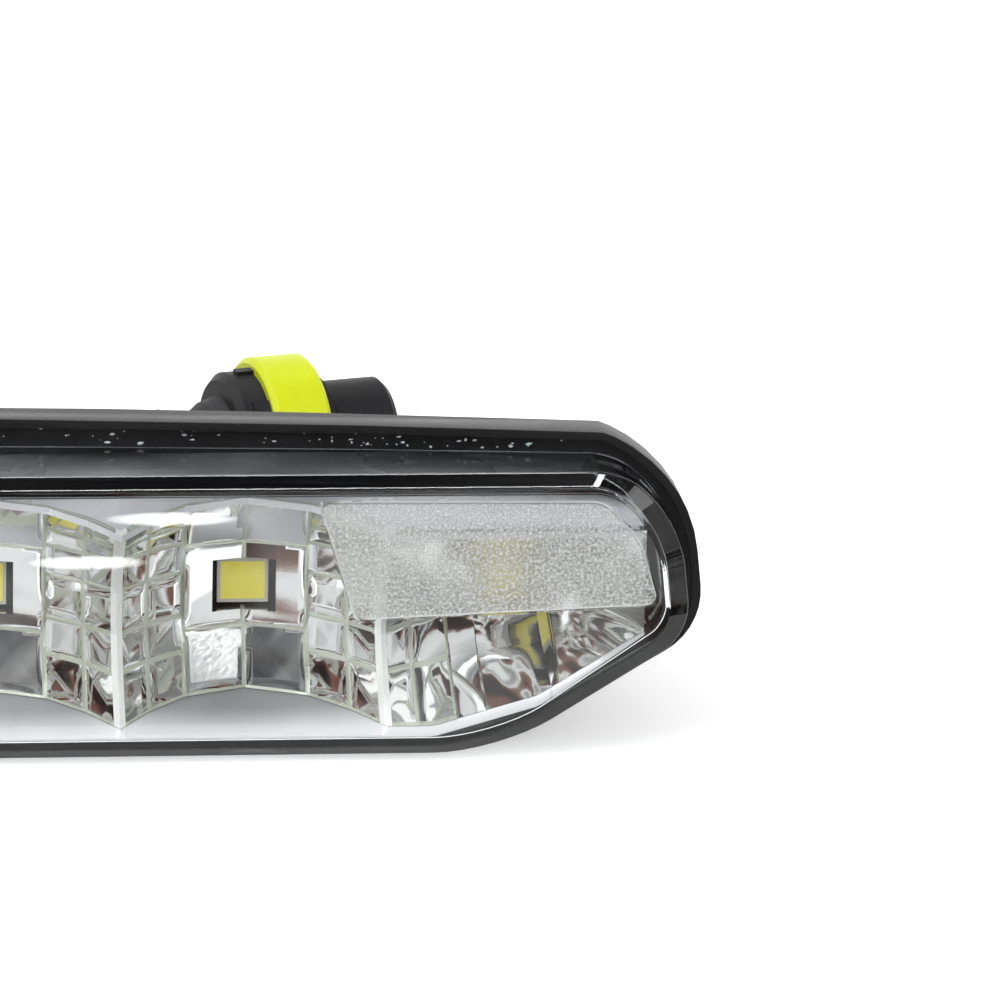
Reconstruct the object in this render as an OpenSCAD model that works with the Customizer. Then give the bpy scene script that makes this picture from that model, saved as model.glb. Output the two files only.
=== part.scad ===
// Daytime running light: a slim lamp with a clear lens, a faceted reflector, a row of LEDs and a short cable.
// X runs along the lamp, Y to the back and Z up. The lamp stands on Z = 0.

/* [LED row] */
// Number of LEDs behind the lens
led_count = 8; // [4:2:10]
// Distance from one LED to the next
led_pitch = 19.4; // [18.6:0.2:22]
// Width of an LED package
led_w = 3.8; // [3.2:0.1:4]
// Height of an LED package
led_h = 3.4; // [2.8:0.1:3.6]
// Thickness of an LED package
led_t = 0.8; // [0.6:0.1:1]
// Bare frame round the yellow phosphor
led_frame = 0.25; // [0.15:0.05:0.4]

/* [Lens] */
// Height of the lens between its bottom and top walls
lens_h = 21.3; // [20.8:0.1:23]
// How far the lens reaches past the last LED's half pitch
lens_end = 2.7; // [2.2:0.1:5]
// Run of the slanted lower end
slant_run = 14; // [12:0.5:16]
// Height of the widest point above the bottom of the lens
widest_h = 8.9; // [8:0.1:9.6]
// Height of the bend in the upper end below the top of the lens
shoulder_drop = 3.8; // [3.2:0.1:4.4]
// How far the shoulder bend leans in from the widest point
shoulder_lean = 1; // [0.6:0.1:1.6]
// How far the top corner leans in from the widest point
top_lean = 5.4; // [4.8:0.1:6.4]
// Thickness of the lens walls
lens_wall = 1.6; // [1.2:0.1:1.8]
// Thickness of the window
window_t = 1.6; // [1.2:0.1:1.8]
// Depth of the bevel round the window
bevel_d = 0.9; // [0.6:0.1:1.4]
// Width of the bevel at the ends
bevel_end = 1.6; // [1.2:0.1:2.2]

/* [Housing] */
// Distance from the window to the flange at the middle of the lamp
flange_y = 8.7; // [8:0.1:9.4]
// Radius of the flange's bow, whose ends come forward
bow_r = 800; // [700:10:1200]
// Thickness of the flange
flange_t = 3.1; // [2.6:0.1:4]
// Flange width below the lens
rim_under = 1.2; // [1:0.1:2]
// Flange width outside the ends of the lens
rim_w = 1.4; // [1:0.1:2]
// Flange width above the lens
rim_top = 2.3; // [2:0.1:3]
// How much rounder the upper corners of the flange are than those of the lens
rim_round = 4; // [2:0.2:4.4]
// Radius of the slight arch along the top of the flange
arch_r = 4500; // [3500:100:9000]
// Width of the lip outside the sealant groove
lip_w = 0.6; // [0.4:0.05:0.7]
// Depth of the sealant groove
groove_d = 1.8; // [1.4:0.1:2]
// How far the sealant lies below the lip
sealant_drop = 0.5; // [0.3:0.1:0.8]
// Wall thickness of the tub
wall = 2; // [1.6:0.1:2.2]
// Distance from the window to the back of the tub
rear_y = 31; // [30:0.5:36]
// Height of the tub at its back
rear_h = 17.2; // [17:0.1:19]
// How far each end of the tub tapers in towards the back
end_taper = 5; // [3:0.5:7]
// Distance between the stiffening ribs
rib_pitch = 8; // [7:0.5:12]
// Thickness of a rib
rib_t = 1.4; // [1:0.1:2]
// How far a rib stands out
rib_out = 2.4; // [1.5:0.1:3]

/* [Reflector] */
// Height of the reflector
reflector_h = 14.7; // [14:0.1:15.5]
// Gap between the reflector and the lens wall
reflector_gap = 0.3; // [0.2:0.05:0.5]
// Thickness of the reflector shell
shell_t = 1.2; // [1:0.1:1.3]
// Depth behind the window at an LED
bowl_d = 14.2; // [14:0.1:15]
// Depth of a ridge at mid height
ridge_d = 8.4; // [7:0.1:9.5]
// Depth of the rim above and below an LED
rim_d = 11.6; // [10.5:0.1:12.5]
// Depth of a ridge's tips and of the end cups' rims
tip_d = 2.3; // [2.1:0.1:3]
// Width of the opening round an LED
opening_w = 4.7; // [4.4:0.1:5.2]
// Height of the opening round an LED
opening_h = 4; // [3.9:0.1:4.6]

/* [Boards] */
// Thickness of the LED board
board_t = 1.6; // [1:0.1:2]
// Thickness of the thermal pad
pad_t = 0.5; // [0.3:0.1:0.8]
// Thickness of the heat spreader
spreader_t = 2; // [1.5:0.1:2.4]
// Gap between the boards and the lens outline
board_gap = 0.6; // [0.4:0.1:1]
// Length of the driver board
driver_w = 18; // [17:0.5:20]
// Height of the driver board
driver_h = 11; // [10.5:0.5:12]
// Thickness of the driver board
driver_t = 1.2; // [1:0.1:1.6]
// Space between the heat spreader and the driver board
driver_gap = 1.6; // [1.2:0.1:2]

/* [Mounting] */
// Distance between the two bracket screws
mount_spacing = 96; // [94:0.5:98]
// Radius of the M4 thread in the brass inserts
mount_r = 2; // [1.5:0.05:2.2]
// Radius of the knurled brass inserts
insert_r = 2.8; // [2.6:0.05:3]
// Length of the brass inserts
insert_l = 8; // [6:0.5:9]
// Radius of the mounting bosses
boss_r = 4.8; // [4.4:0.1:5.2]
// How far the mounting bosses stand out of the tub
boss_out = 4; // [2.5:0.5:5]
// Height of the mounting bosses, the vent and the cable above the base
axis_h = 10; // [9.4:0.1:10.6]

/* [Cable] */
// Diameter of the cable
cable_d = 4.5; // [4:0.1:5]
// Radius of the hole for the cable grommet
grommet_r = 4; // [3.6:0.1:4.4]
// Length of the grommet outside the tub
grommet_l = 11; // [9:0.5:14]
// Radius of the connector body
plug_r = 6; // [5.6:0.1:6.4]
// Radius of the lime seal collar
collar_r = 7; // [6.8:0.1:7.4]
// Length of the lime seal collar
collar_l = 4.8; // [4:0.1:5.4]
// Radius of the connector nose
nose_r = 4.6; // [4:0.1:4.9]
// Length of the connector nose
nose_l = 6.6; // [6:0.2:9]
// Radius of the contacts
contact_r = 0.8; // [0.6:0.05:1]

/* [Hidden] */
function numbered(name) = [for (i = [1:led_count]) str(name, i)];

// Small fits and steps
fit = 0.05;
slack = 0.2;
reach = 300;
round_fn = 48;

// Heights and lengths that follow from the sizes above
depth_all = rear_y + grommet_l;
front_y = -depth_all / 2;
lens_z = rim_under;
lens_half = led_count * led_pitch / 2 + lens_end;
lens_top = lens_z + lens_h;
flange_top = lens_top + rim_top;
inner_z = lens_z + lens_wall;
inner_top = lens_top - lens_wall;
rear_in = rear_y - wall;
reflector_z = inner_z + reflector_gap;
reflector_top = reflector_z + reflector_h;
led_z = reflector_z + reflector_h / 2;
board_y = bowl_d + shell_t;
pad_y = board_y + board_t;
spreader_y = pad_y + pad_t;
seat_y = spreader_y + spreader_t;
driver_y = seat_y + driver_gap;
driver_back = driver_y + driver_t;
mount_x = mount_spacing / 2;

// Screws that hold the boards
screw_x = [-3 * led_pitch, -led_pitch, led_pitch, 3 * led_pitch];
screw_r = 1.2;
screw_head_r = 2.2;
screw_head_t = 1.5;
screw_l = 7;
post_r = 2.8;
driver_x = -(led_pitch + post_r + slack + driver_w / 2);
stake_r = 1.1;
stake_x = [-2 * led_pitch, 0, 2 * led_pitch];
pin_r = 0.4;
pin_gap = 2.54;
pin_z = axis_h - 1.2;
pin_x = driver_x + driver_w / 2 - 2;
driver_screw_r = 0.9;
driver_screw_l = 4;
driver_post_r = driver_w * 0.105;
driver_inset = driver_w * 0.117;
part_step = driver_w / 18;
coil_r = 3 * part_step;
coil_h = 3.2;
vent_x = led_pitch * 1.5;
vent_r = 2.4;

// Cable route in the lamp's own frame, chosen by hand
cable_route = [
    [0, 21, 10], [0, 27, 9.5], [0, 33, 7.5], [-0.4, 40, 4.6], [-3, 47, 2.9], [-9, 52.5, 2.3], [-18, 55, 2.3],
    [-27, 55, 2.3], [-36, 55, 2.3], [-45, 52.6, 2.3], [-51.6, 46, 2.3], [-54, 37, 2.3], [-51.6, 28, 2.3],
    [-45, 21.4, 2.3], [-36, 19, 2.3], [-26, 19, 2.3], [-16, 19, 2.3], [-7, 19.6, 2.3], [2, 21.6, 2.3],
    [10.5, 24.8, 2.5], [19, 28.6, 3.4], [27, 32.2, 4.8], [34.5, 35, 6.1], [39.5, 36.6, 6.8]];
connector_at = [55, 41, 7];
connector_turn = 16;
boot_l = 7;
body_l = 2.6;
contact_l = 4.6;
neck_r = 4.8;

// Unit vector along v
function unit(v) = v / norm(v);

// Outward normal of the edge from a to b on an outline that runs counter-clockwise
function outward(a, b) = let (d = unit(b - a)) [d.y, -d.x];

// Crossing of the lines n * p = s and m * p = t
function crossing(n, s, m, t) = let (k = n.x * m.y - n.y * m.x) [(s * m.y - t * n.y) / k, (n.x * t - m.x * s) / k];

// Outline whose edges have each moved outwards by their own distance
function moved(pts, by) = let (c = len(pts)) [
    for (i = [0:c - 1])
        let (p = pts[i], n = outward(pts[(i + c - 1) % c], p), m = outward(p, pts[(i + 1) % c]))
            crossing(n, n * p + by[(i + c - 1) % c], m, m * p + by[i])];

// Outline with an arc of its own radius at each corner
function rounded(pts, radii) = let (c = len(pts)) [
    for (i = [0:c - 1])
        let (p = pts[i], a = unit(pts[(i + c - 1) % c] - p), b = unit(pts[(i + 1) % c] - p))
        let (bend = 180 - acos(a * b), r = radii[i], mid = p + unit(a + b) * r / cos(bend / 2))
        let (from = p + a * r * tan(bend / 2) - mid, start = atan2(from.y, from.x), steps = max(3, round(bend / 9)))
        for (j = [0:steps]) mid + r * [cos(start + bend * j / steps), sin(start + bend * j / steps)]];

// Corners of the lens outline, mirrored about the middle, and their radii
right_side = [
    [lens_half - slant_run, lens_z], [lens_half, lens_z + widest_h],
    [lens_half - shoulder_lean, lens_top - shoulder_drop], [lens_half - top_lean, lens_top]];
lens_pts = concat([for (p = right_side) p], [for (i = [3:-1:0]) [-right_side[i].x, right_side[i].y]]);
corner_r = [16, 4, 9, 5, 5, 9, 4, 16];

// Edge moves in the order of lens_pts: the slant, the side, the shoulder, the top and back down to the bottom
function moves(bottom, side, top) = [side, side, side, top, side, side, side, bottom];
function lens_outline(bottom, side, top, more = 0) =
    rounded(moved(lens_pts, moves(bottom, side, top)),
            [for (i = [0:7]) max(0.4, corner_r[i] + side + (i == 3 || i == 4 ? more : 0))]);

outer_line = lens_outline(0, 0, 0);
window_line = lens_outline(-bevel_d, -bevel_end, -bevel_d);
inner_line = lens_outline(-lens_wall, -lens_wall, -lens_wall);
housing_line = lens_outline(rim_under, rim_w, rim_top, rim_round);
groove_line = lens_outline(rim_under - lip_w, rim_w - lip_w, rim_top - lip_w, rim_round);
tub_line = lens_outline(rim_under, wall - lens_wall, wall - lens_wall);
board_inset = lens_wall + board_gap;
board_line = rounded(
    moved(lens_pts, moves(-board_inset, -board_inset - end_taper / 2, -board_inset)), [for (r = corner_r) 1]);

// Solid between two depths, from an outline seen from the front
module slab(line, y0, y1) {
    translate([0, y1, 0])
        rotate([90, 0, 0])
            linear_extrude(height = y1 - y0) polygon(line);
}

// Space between two bowed surfaces
module bowed(y0, y1) {
    translate([0, -bow_r, -reach / 2])
        linear_extrude(height = reach)
            difference() {
                circle(r = bow_r + y1, $fn = 720);
                circle(r = bow_r + y0, $fn = 720);
            }
}

// Space below the arch along the top of the flange
arch_steps = 10;
function arch_line(inset) = concat(
    [[-reach / 2, -rim_under - 1], [reach / 2, -rim_under - 1]],
    [for (i = [arch_steps:-1:-arch_steps])
        let (x = i / arch_steps * reach / 2) [x, flange_top - inset - x * x / (2 * arch_r)]]);
module under_arch(inset) {
    slab(arch_line(inset), -reach / 10, reach / 2);
}

// Round bar along Y between two depths
module bar(x, z, r, y0, y1) {
    translate([x, y1, z])
        rotate([90, 0, 0]) cylinder(r = r, h = y1 - y0, $fn = round_fn);
}

// Block between two corners
module block(low, high) {
    translate(low) cube(high - low);
}

// Places what is drawn from the window backwards
module from_window() {
    translate([0, front_y, 0]) children();
}

// Profile of the tub from the side, inset by the wall for its hollow
roof_y = 11;
roof_top = inner_top + wall;
roof_drop = (roof_top - rear_h) / (rear_y - roof_y);
module side_profile(inset, back) {
    floor_z = inset > 0 ? inner_z : 0;
    rotate([90, 0, 90])
        translate([0, 0, -reach / 2])
            linear_extrude(height = reach)
                polygon([
                    [-5, floor_z], [back, floor_z], [back, roof_top - inset - roof_drop * (back - roof_y)],
                    [roof_y, roof_top - inset], [-5, roof_top - inset]]);
}

// Profile of the tub from above, with tapered ends
taper_y = 12;
module top_profile(inset, back) {
    half = lens_half + wall - lens_wall - inset;
    lean = end_taper * (back - taper_y) / (rear_y - taper_y);
    translate([0, 0, -reach / 2])
        linear_extrude(height = reach)
            polygon([
                [-half, -5], [half, -5], [half, taper_y], [half - lean, back], [lean - half, back], [-half, taper_y]]);
}

module tub_form(line, inset, front, back) {
    intersection() {
        slab(line, front, back);
        side_profile(inset, back);
        top_profile(inset, back);
    }
}

module rib(x) {
    translate([x - rib_t / 2, 0, 0])
        rotate([90, 0, 90])
            linear_extrude(height = rib_t)
                polygon([
                    [rear_y - fit, 0], [rear_y + rib_out, 0], [rear_y + rib_out, rear_h - 2 * rib_out],
                    [rear_y - fit, rear_h - fit]]);
}

rib_half = floor((lens_half - slant_run - rib_t) / rib_pitch);
function rib_clear(x) =
    abs(abs(x) - mount_x) > boss_r + rib_t && abs(x) > grommet_r + 2 + rib_t && abs(x - vent_x) > vent_r + 2 + rib_t;

module rear_housing() color("#242628") from_window() {
    difference() {
        union() {
            intersection() {
                slab(housing_line, -5, rear_y);
                bowed(flange_y, flange_y + flange_t);
                under_arch(0);
            }
            intersection() {
                tub_form(tub_line, 0, -5, rear_y);
                bowed(flange_y + groove_d, reach);
            }
            for (i = [-rib_half:rib_half])
                if (rib_clear(i * rib_pitch)) rib(i * rib_pitch);
            for (s = [-1, 1]) bar(s * mount_x, axis_h, boss_r, rear_y - wall, rear_y + boss_out);
        }
        intersection() {
            slab(groove_line, -5, rear_y);
            bowed(-reach / 10, flange_y + groove_d);
            under_arch(lip_w);
        }
        tub_form(inner_line, wall, -5, rear_in);
        bar(0, axis_h, grommet_r, rear_in - 1, rear_y + 1);
        bar(vent_x, axis_h, vent_r, rear_in - 1, rear_y + 1);
        for (s = [-1, 1]) bar(s * mount_x, axis_h, insert_r, rear_y - wall, rear_y + boss_out + 1);
    }
    for (s = [-1, 1])
        difference() {
            bar(s * mount_x, axis_h, boss_r, rear_y + boss_out - insert_l - 1.5, rear_y - wall + fit);
            bar(s * mount_x, axis_h, insert_r, rear_y + boss_out - insert_l, rear_y);
        }
    for (x = screw_x)
        difference() {
            bar(x, led_z, post_r, seat_y, rear_in + fit);
            bar(x, led_z, screw_r, seat_y - 1, board_y + screw_l + 1);
        }
    for (s = [-1, 1])
        difference() {
            bar(driver_x + s * (driver_w / 2 - driver_inset), axis_h + s * (driver_h / 2 - driver_inset),
                driver_post_r, driver_back, rear_in + fit);
            bar(driver_x + s * (driver_w / 2 - driver_inset), axis_h + s * (driver_h / 2 - driver_inset),
                driver_screw_r, driver_back - 1, rear_in - 1);
        }
}

// Clear cover: a bevelled window with a wall all round that ends in the bowed groove
module front_lens() color("#dfe9ec", 0.35) from_window() {
    difference() {
        union() {
            hull() {
                slab(window_line, 0, fit);
                slab(outer_line, bevel_d, bevel_d + fit);
            }
            intersection() {
                slab(outer_line, bevel_d, rear_y);
                bowed(-reach / 10, flange_y + groove_d);
            }
        }
        slab(inner_line, window_t, rear_y);
    }
}

// Black sealant between the lens and the lip
module sealant_bead() color("#101112") from_window() {
    difference() {
        intersection() {
            slab(groove_line, -5, rear_y);
            bowed(flange_y + sealant_drop, flange_y + groove_d);
            under_arch(lip_w);
        }
        slab(outer_line, -6, rear_y + 1);
    }
}

// Reflector outline, with its lower and upper limits at a distance x along the lamp
shell_inset = lens_wall + reflector_gap;
shell_pts = moved(lens_pts, moves(-shell_inset, -shell_inset, reflector_top - lens_top));
shell_end = shell_pts[1].x - 1.2;
slant = unit(shell_pts[1] - shell_pts[0]);
function along(p, q, x) = p.y + (q.y - p.y) * (x - p.x) / (q.x - p.x);
cut = (corner_r[0] - shell_inset) * tan(atan2(slant.y, slant.x) / 2);
function low_at(x) = max(
    reflector_z, along(shell_pts[0], shell_pts[1], abs(x)),
    along(shell_pts[0] - [cut, 0], shell_pts[0] + cut * slant, abs(x)));
function high_at(x) = abs(x) < shell_pts[3].x ? reflector_top
    : min(reflector_top, along(shell_pts[3], shell_pts[2], abs(x)));

// Depth of a bowl at u across and v up, each from -1 to 1
function bowl(u, v, side, rim, tip) =
    bowl_d - (bowl_d - side) * u * u - (bowl_d - rim) * v * v - (side + rim - bowl_d - tip) * u * u * v * v;

// Facet lines as shares of the half width and half height, apart from those at the LED's opening
hole_u = opening_w / led_pitch;
hole_v = opening_h / reflector_h;
facet_u = [-1, -0.76, -0.47, -hole_u, hole_u, 0.47, 0.76];
facet_v = [-1, -0.69, -0.42, -hole_v, hole_v, 0.42, 0.69, 1];
cols_each = len(facet_u);
rows = len(facet_v);
last = led_count - 1;
function led_x(i) = (i - (led_count - 1) / 2) * led_pitch;
function reach_of(i, u) = (i == 0 && u < 0) || (i == last && u > 0) ? shell_end - led_x(last) : led_pitch / 2;
function col(i, u) = [i, u, led_x(i) + (abs(u) <= hole_u ? u * led_pitch / 2 : u * reach_of(i, u))];
columns = concat([for (i = [0:last]) for (u = facet_u) col(i, u)], [col(last, 1)]);
function rise(v, room) = abs(v) <= hole_v ? abs(v) * reflector_h / 2
    : opening_h / 2 + (abs(v) - hole_v) / (1 - hole_v) * (room - opening_h / 2);
function skin(c, v) = let (
    i = c[0], x = c[2], u = (x - led_x(i)) / reach_of(i, c[1]), end = i == 0 || i == last,
    outer = (i == 0 && c[1] < 0) || (i == last && c[1] > 0),
    room = v < 0 ? led_z - low_at(x) : high_at(x) - led_z,
    z = led_z + sign(v) * (abs(c[1]) <= hole_u ? rise(v, room) : abs(v) * room))
    [x, bowl(u, v, outer ? tip_d : ridge_d, end ? tip_d : rim_d, tip_d), z];
function at_hole(k, j) = (k % cols_each == 3 || k % cols_each == 4) && (j == 3 || j == 4);
front_pts = [for (c = columns) for (v = facet_v) skin(c, v)];
back_pts = [
    for (k = [0:len(columns) - 1]) for (j = [0:rows - 1])
        let (p = front_pts[k * rows + j]) [p.x, at_hole(k, j) ? board_y : p.y + shell_t, p.z]];
off = len(front_pts);
function is_hole(k, j) = k % cols_each == 3 && j == 3;
cells = [for (k = [0:len(columns) - 2]) for (j = [0:rows - 2]) if (!is_hole(k, j)) k * rows + j];
function ring_of(k0, k1, j0, j1) = concat(
    [for (j = [j0:j1 - 1]) k0 * rows + j], [for (k = [k0:k1 - 1]) k * rows + j1],
    [for (j = [j1:-1:j0 + 1]) k1 * rows + j], [for (k = [k1:-1:k0 + 1]) k * rows + j0]);
function wall_faces(ring) = [
    for (n = [0:len(ring) - 1])
        let (p = ring[n], q = ring[(n + 1) % len(ring)])
        for (f = [[q, p, p + off], [q, p + off, q + off]]) f];
function turned(ring) = [for (n = [len(ring) - 1:-1:0]) ring[n]];
shell_faces = concat(
    [for (a = cells) for (f = [[a, a + 1, a + rows + 1], [a, a + rows + 1, a + rows]]) f],
    [for (a = cells) let (b = a + off) for (f = [[b + rows + 1, b + 1, b], [b + rows, b + rows + 1, b]]) f],
    wall_faces(ring_of(0, len(columns) - 1, 0, rows - 1)),
    [for (i = [0:last]) for (f = wall_faces(turned(ring_of(i * cols_each + 3, i * cols_each + 4, 3, 4)))) f]);

// Level land from the rims above the LEDs back to the board
land_cols = [for (c = columns) if (abs(c[2]) < shell_pts[3].x) c];
land_front = [for (c = land_cols) let (p = skin(c, 1)) [p.x, p.y + shell_t / 2]];
land_line = concat(land_front, [[land_front[len(land_front) - 1].x, board_y], [land_front[0].x, board_y]]);

module reflector() color("#c8ccd0") from_window() {
    translate([0, 0, reflector_top - shell_t]) linear_extrude(height = shell_t - fit) polygon(land_line);
    polyhedron(points = concat(front_pts, back_pts), faces = shell_faces, convexity = 8);
    for (x = stake_x) bar(x, led_z, stake_r, ridge_d + shell_t / 2, pad_y);
}

// Plate with the outline of the boards, drilled for the screws and slotted for the pins
module board_plate(y0, t) {
    difference() {
        intersection() {
            slab(board_line, y0, y0 + t);
            block([-reach / 2, y0 - 1, 0], [reach / 2, y0 + t + 1, reflector_top]);
        }
        for (x = screw_x) bar(x, led_z, screw_r + fit, y0 - 1, y0 + t + 1);
        children();
    }
}

module pin_slot(y0, y1) {
    block([pin_x - 1, y0, pin_z - pin_gap / 2 - 1], [pin_x + 1, y1, pin_z + pin_gap / 2 + 1]);
}

module led_board() color("#141a16") from_window()
    board_plate(board_y, board_t) {
        for (x = stake_x) bar(x, led_z, stake_r + fit, board_y - 1, pad_y + 1);
        for (s = [-1, 1]) bar(pin_x, pin_z + s * pin_gap / 2, pin_r + fit, board_y - 1, pad_y + 1);
    }

module thermal_pad() color("#8fa3b5") from_window()
    board_plate(pad_y, pad_t) pin_slot(pad_y - 1, spreader_y + 1);

module heat_spreader() color("#b9bcbf") from_window()
    board_plate(spreader_y, spreader_t) pin_slot(spreader_y - 1, seat_y + 1);

module screw(x, z, y, shank_r, head_r, head_t, length) {
    bar(x, z, shank_r - fit, y - fit, y + length);
    difference() {
        bar(x, z, head_r, y - head_t, y);
        bar(x, z, head_r * 0.4, y - head_t - 1, y - head_t / 2);
    }
}

module board_screws() color("#9a9da1") from_window()
    for (x = screw_x) screw(x, led_z, board_y, screw_r, screw_head_r, screw_head_t, screw_l);

module driver_board() color("#1f6b3a") from_window() {
    difference() {
        block([driver_x - driver_w / 2, driver_y, axis_h - driver_h / 2],
              [driver_x + driver_w / 2, driver_back, axis_h + driver_h / 2]);
        for (s = [-1, 1])
            bar(driver_x + s * (driver_w / 2 - driver_inset), axis_h + s * (driver_h / 2 - driver_inset),
                driver_screw_r + fit, driver_y - 1, driver_back + 1);
        for (s = [-1, 1]) bar(pin_x, pin_z + s * pin_gap / 2, pin_r + fit, driver_y - 1, driver_back + 1);
    }
}

module driver_screws() color("#9a9da1") from_window()
    for (s = [-1, 1])
        screw(driver_x + s * (driver_w / 2 - driver_inset), axis_h + s * (driver_h / 2 - driver_inset),
              driver_y, driver_screw_r, 1.5, 1, driver_screw_l);

module driver_inductor() color("#3a3d40") from_window()
    translate([driver_x - 1.6 * part_step, driver_back, axis_h + 1.6])
        rotate([-90, 0, 0]) {
            cylinder(r = coil_r, h = coil_h / 4, $fn = round_fn);
            translate([0, 0, coil_h / 4]) cylinder(r = coil_r * 0.8, h = coil_h / 2, $fn = round_fn);
            translate([0, 0, coil_h * 0.75]) cylinder(r = coil_r, h = coil_h / 4, $fn = round_fn);
        }

module driver_capacitor() color("#aeb4ba") from_window()
    bar(driver_x + 3.4 * part_step, axis_h - 2.2, 2 * part_step, driver_back, driver_back + 3.6);

module driver_chip() color("#1a1b1d") from_window()
    block([driver_x - 4.4 * part_step, driver_back, axis_h - 4.9],
          [driver_x + 0.6 * part_step, driver_back + 1.5, axis_h - 2]);

module driver_diode() color("#222326") from_window()
    block([driver_x + 2 * part_step, driver_back, axis_h + 0.6],
          [driver_x + 4.6 * part_step, driver_back + 1.6, axis_h + 4.6]);

module board_pins() color("#c9a24a") from_window()
    for (s = [-1, 1]) bar(pin_x, pin_z + s * pin_gap / 2, pin_r, board_y + 0.2, driver_back);

module led(i) color("#f2f2ee") from_window()
    difference() {
        block([led_x(i) - led_w / 2, board_y - led_t, led_z - led_h / 2],
              [led_x(i) + led_w / 2, board_y, led_z + led_h / 2]);
        block([led_x(i) - led_w / 2 + led_frame, board_y - led_t - 1, led_z - led_h / 2 + led_frame],
              [led_x(i) + led_w / 2 - led_frame, board_y - led_t / 2, led_z + led_h / 2 - led_frame]);
    }

module phosphor(i) color("#e8dc4a") from_window()
    block([led_x(i) - led_w / 2 + led_frame, board_y - led_t + fit, led_z - led_h / 2 + led_frame],
          [led_x(i) + led_w / 2 - led_frame, board_y - led_t / 2, led_z + led_h / 2 - led_frame]);

// Breathable cap with a stem through the back wall
module vent_plug() color("#2e3033") from_window()
    translate([vent_x, rear_in - 0.6, axis_h])
        rotate([-90, 0, 0])
            rotate_extrude($fn = round_fn)
                polygon([
                    [0, 0], [vent_r - 0.6, 0], [vent_r - fit, 0.6], [vent_r - fit, wall + 0.6], [vent_r + 1.6, wall + 0.6],
                    [vent_r + 1.6, wall + 2], [vent_r + 1, wall + 2.6], [0, wall + 2.6]]);

// Moulded-on rubber grommet, tapered with two flex grooves
module cable_grommet() color("#17181a") from_window()
    translate([0, rear_in - 1.5, axis_h])
        rotate([-90, 0, 0])
            rotate_extrude($fn = round_fn) {
                base = wall + 1.5;
                top = grommet_l + base;
                tip_r = cable_d / 2 + 0.8;
                waist_r = cable_d / 2 + 0.4;
                polygon([
                    [0, 0], [grommet_r + 0.6, 0], [grommet_r + 1, 0.4], [grommet_r + 1, 1.5], [grommet_r - fit, 1.5],
                    [grommet_r - fit, base], [grommet_r + 1.4, base], [grommet_r + 1.4, base + 1.4],
                    [grommet_r + 1, base + 1.8], [grommet_r, base + 2], [grommet_r - 0.3, base + 3.2],
                    [waist_r, base + 3.2], [waist_r, base + 4.4], [grommet_r - 0.6, base + 4.4],
                    [tip_r + 0.3, base + 6], [waist_r, base + 6], [waist_r, base + 7.2], [tip_r + 0.1, base + 7.2],
                    [tip_r, top - 0.4], [tip_r - 0.4, top], [0, top]]);
            }

// Threaded brass inserts for the bracket screws, with a groove between two knurled bands
module bracket_inserts() color("#c9a24a") from_window()
    for (s = [-1, 1])
        translate([s * mount_x, rear_y + boss_out, axis_h])
            rotate([90, 0, 0])
                rotate_extrude($fn = round_fn)
                    polygon([
                        [mount_r, 0], [insert_r, 0], [insert_r, insert_l * 0.4], [insert_r - 0.3, insert_l * 0.45],
                        [insert_r - 0.3, insert_l * 0.55], [insert_r, insert_l * 0.6], [insert_r, insert_l],
                        [mount_r, insert_l]]);

// Tube swept along points, with its first and last rings square to the given directions
function mid_dir(pts, i) = unit(pts[min(i + 1, len(pts) - 1)] - pts[max(i - 1, 0)]);
function dir_at(pts, i, first, final) = i == 0 ? first : i == len(pts) - 1 ? final : mid_dir(pts, i);
module swept(pts, r, sides, first, final) {
    c = len(pts);
    rings = [
        for (i = [0:c - 1])
            let (d = dir_at(pts, i, first, final), side = unit(cross(d, [0, 0, 1])), up = cross(side, d))
            for (k = [0:sides - 1])
                pts[i] + r * (cos(360 * k / sides) * side + sin(360 * k / sides) * up)];
    tube_faces = [
        for (i = [0:c - 2]) for (k = [0:sides - 1])
            let (a = i * sides + k, b = i * sides + (k + 1) % sides)
            for (f = [[b, a, a + sides], [b, a + sides, b + sides]]) f];
    caps = [[for (k = [0:sides - 1]) k], [for (k = [sides - 1:-1:0]) (c - 1) * sides + k]];
    polyhedron(points = rings, faces = concat(tube_faces, caps), convexity = 6);
}

connector_dir = [cos(connector_turn), sin(connector_turn), 0];
module cord() color("#151617") {
    last_point = connector_at - connector_dir * (collar_l / 2 + body_l + boot_l);
    swept(concat(cable_route, [last_point]), cable_d / 2, 10, [0, 1, 0], connector_dir);
}

// Leads from the grommet to the pads on the back of the driver board
lead_r = 0.7;
module lead(side) {
    pad_x = driver_x + driver_w / 2 - 1.2;
    pad_z = axis_h - driver_h / 2 + 1.2 + side * 0.8;
    from_window()
        swept([
            [0, rear_in - 1.5, axis_h + side], [-0.2, rear_in - 2.6, axis_h - 0.3 + side],
            [-4, rear_in - 3.4, axis_h - 1.6 + side], [-9, rear_in - 3.4, axis_h - 3.3 + side * 0.9],
            [-13, rear_in - 3.6, axis_h - 4.2 + side * 0.8], [pad_x + 3, driver_back + 1.6, pad_z],
            [pad_x, driver_back + 0.8, pad_z], [pad_x - 0.8, driver_back + 0.8, pad_z]],
            lead_r, 8, [0, -1, 0], [-1, 0, 0]);
}
module lead_red() color("#b3202a") lead(1);
module lead_black() color("#1b1b1d") lead(-1);

// Places what is drawn along the connector's axis, which is Z there, from the middle of the collar
module on_connector() {
    translate(connector_at) rotate([0, 90, connector_turn]) children();
}

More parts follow.
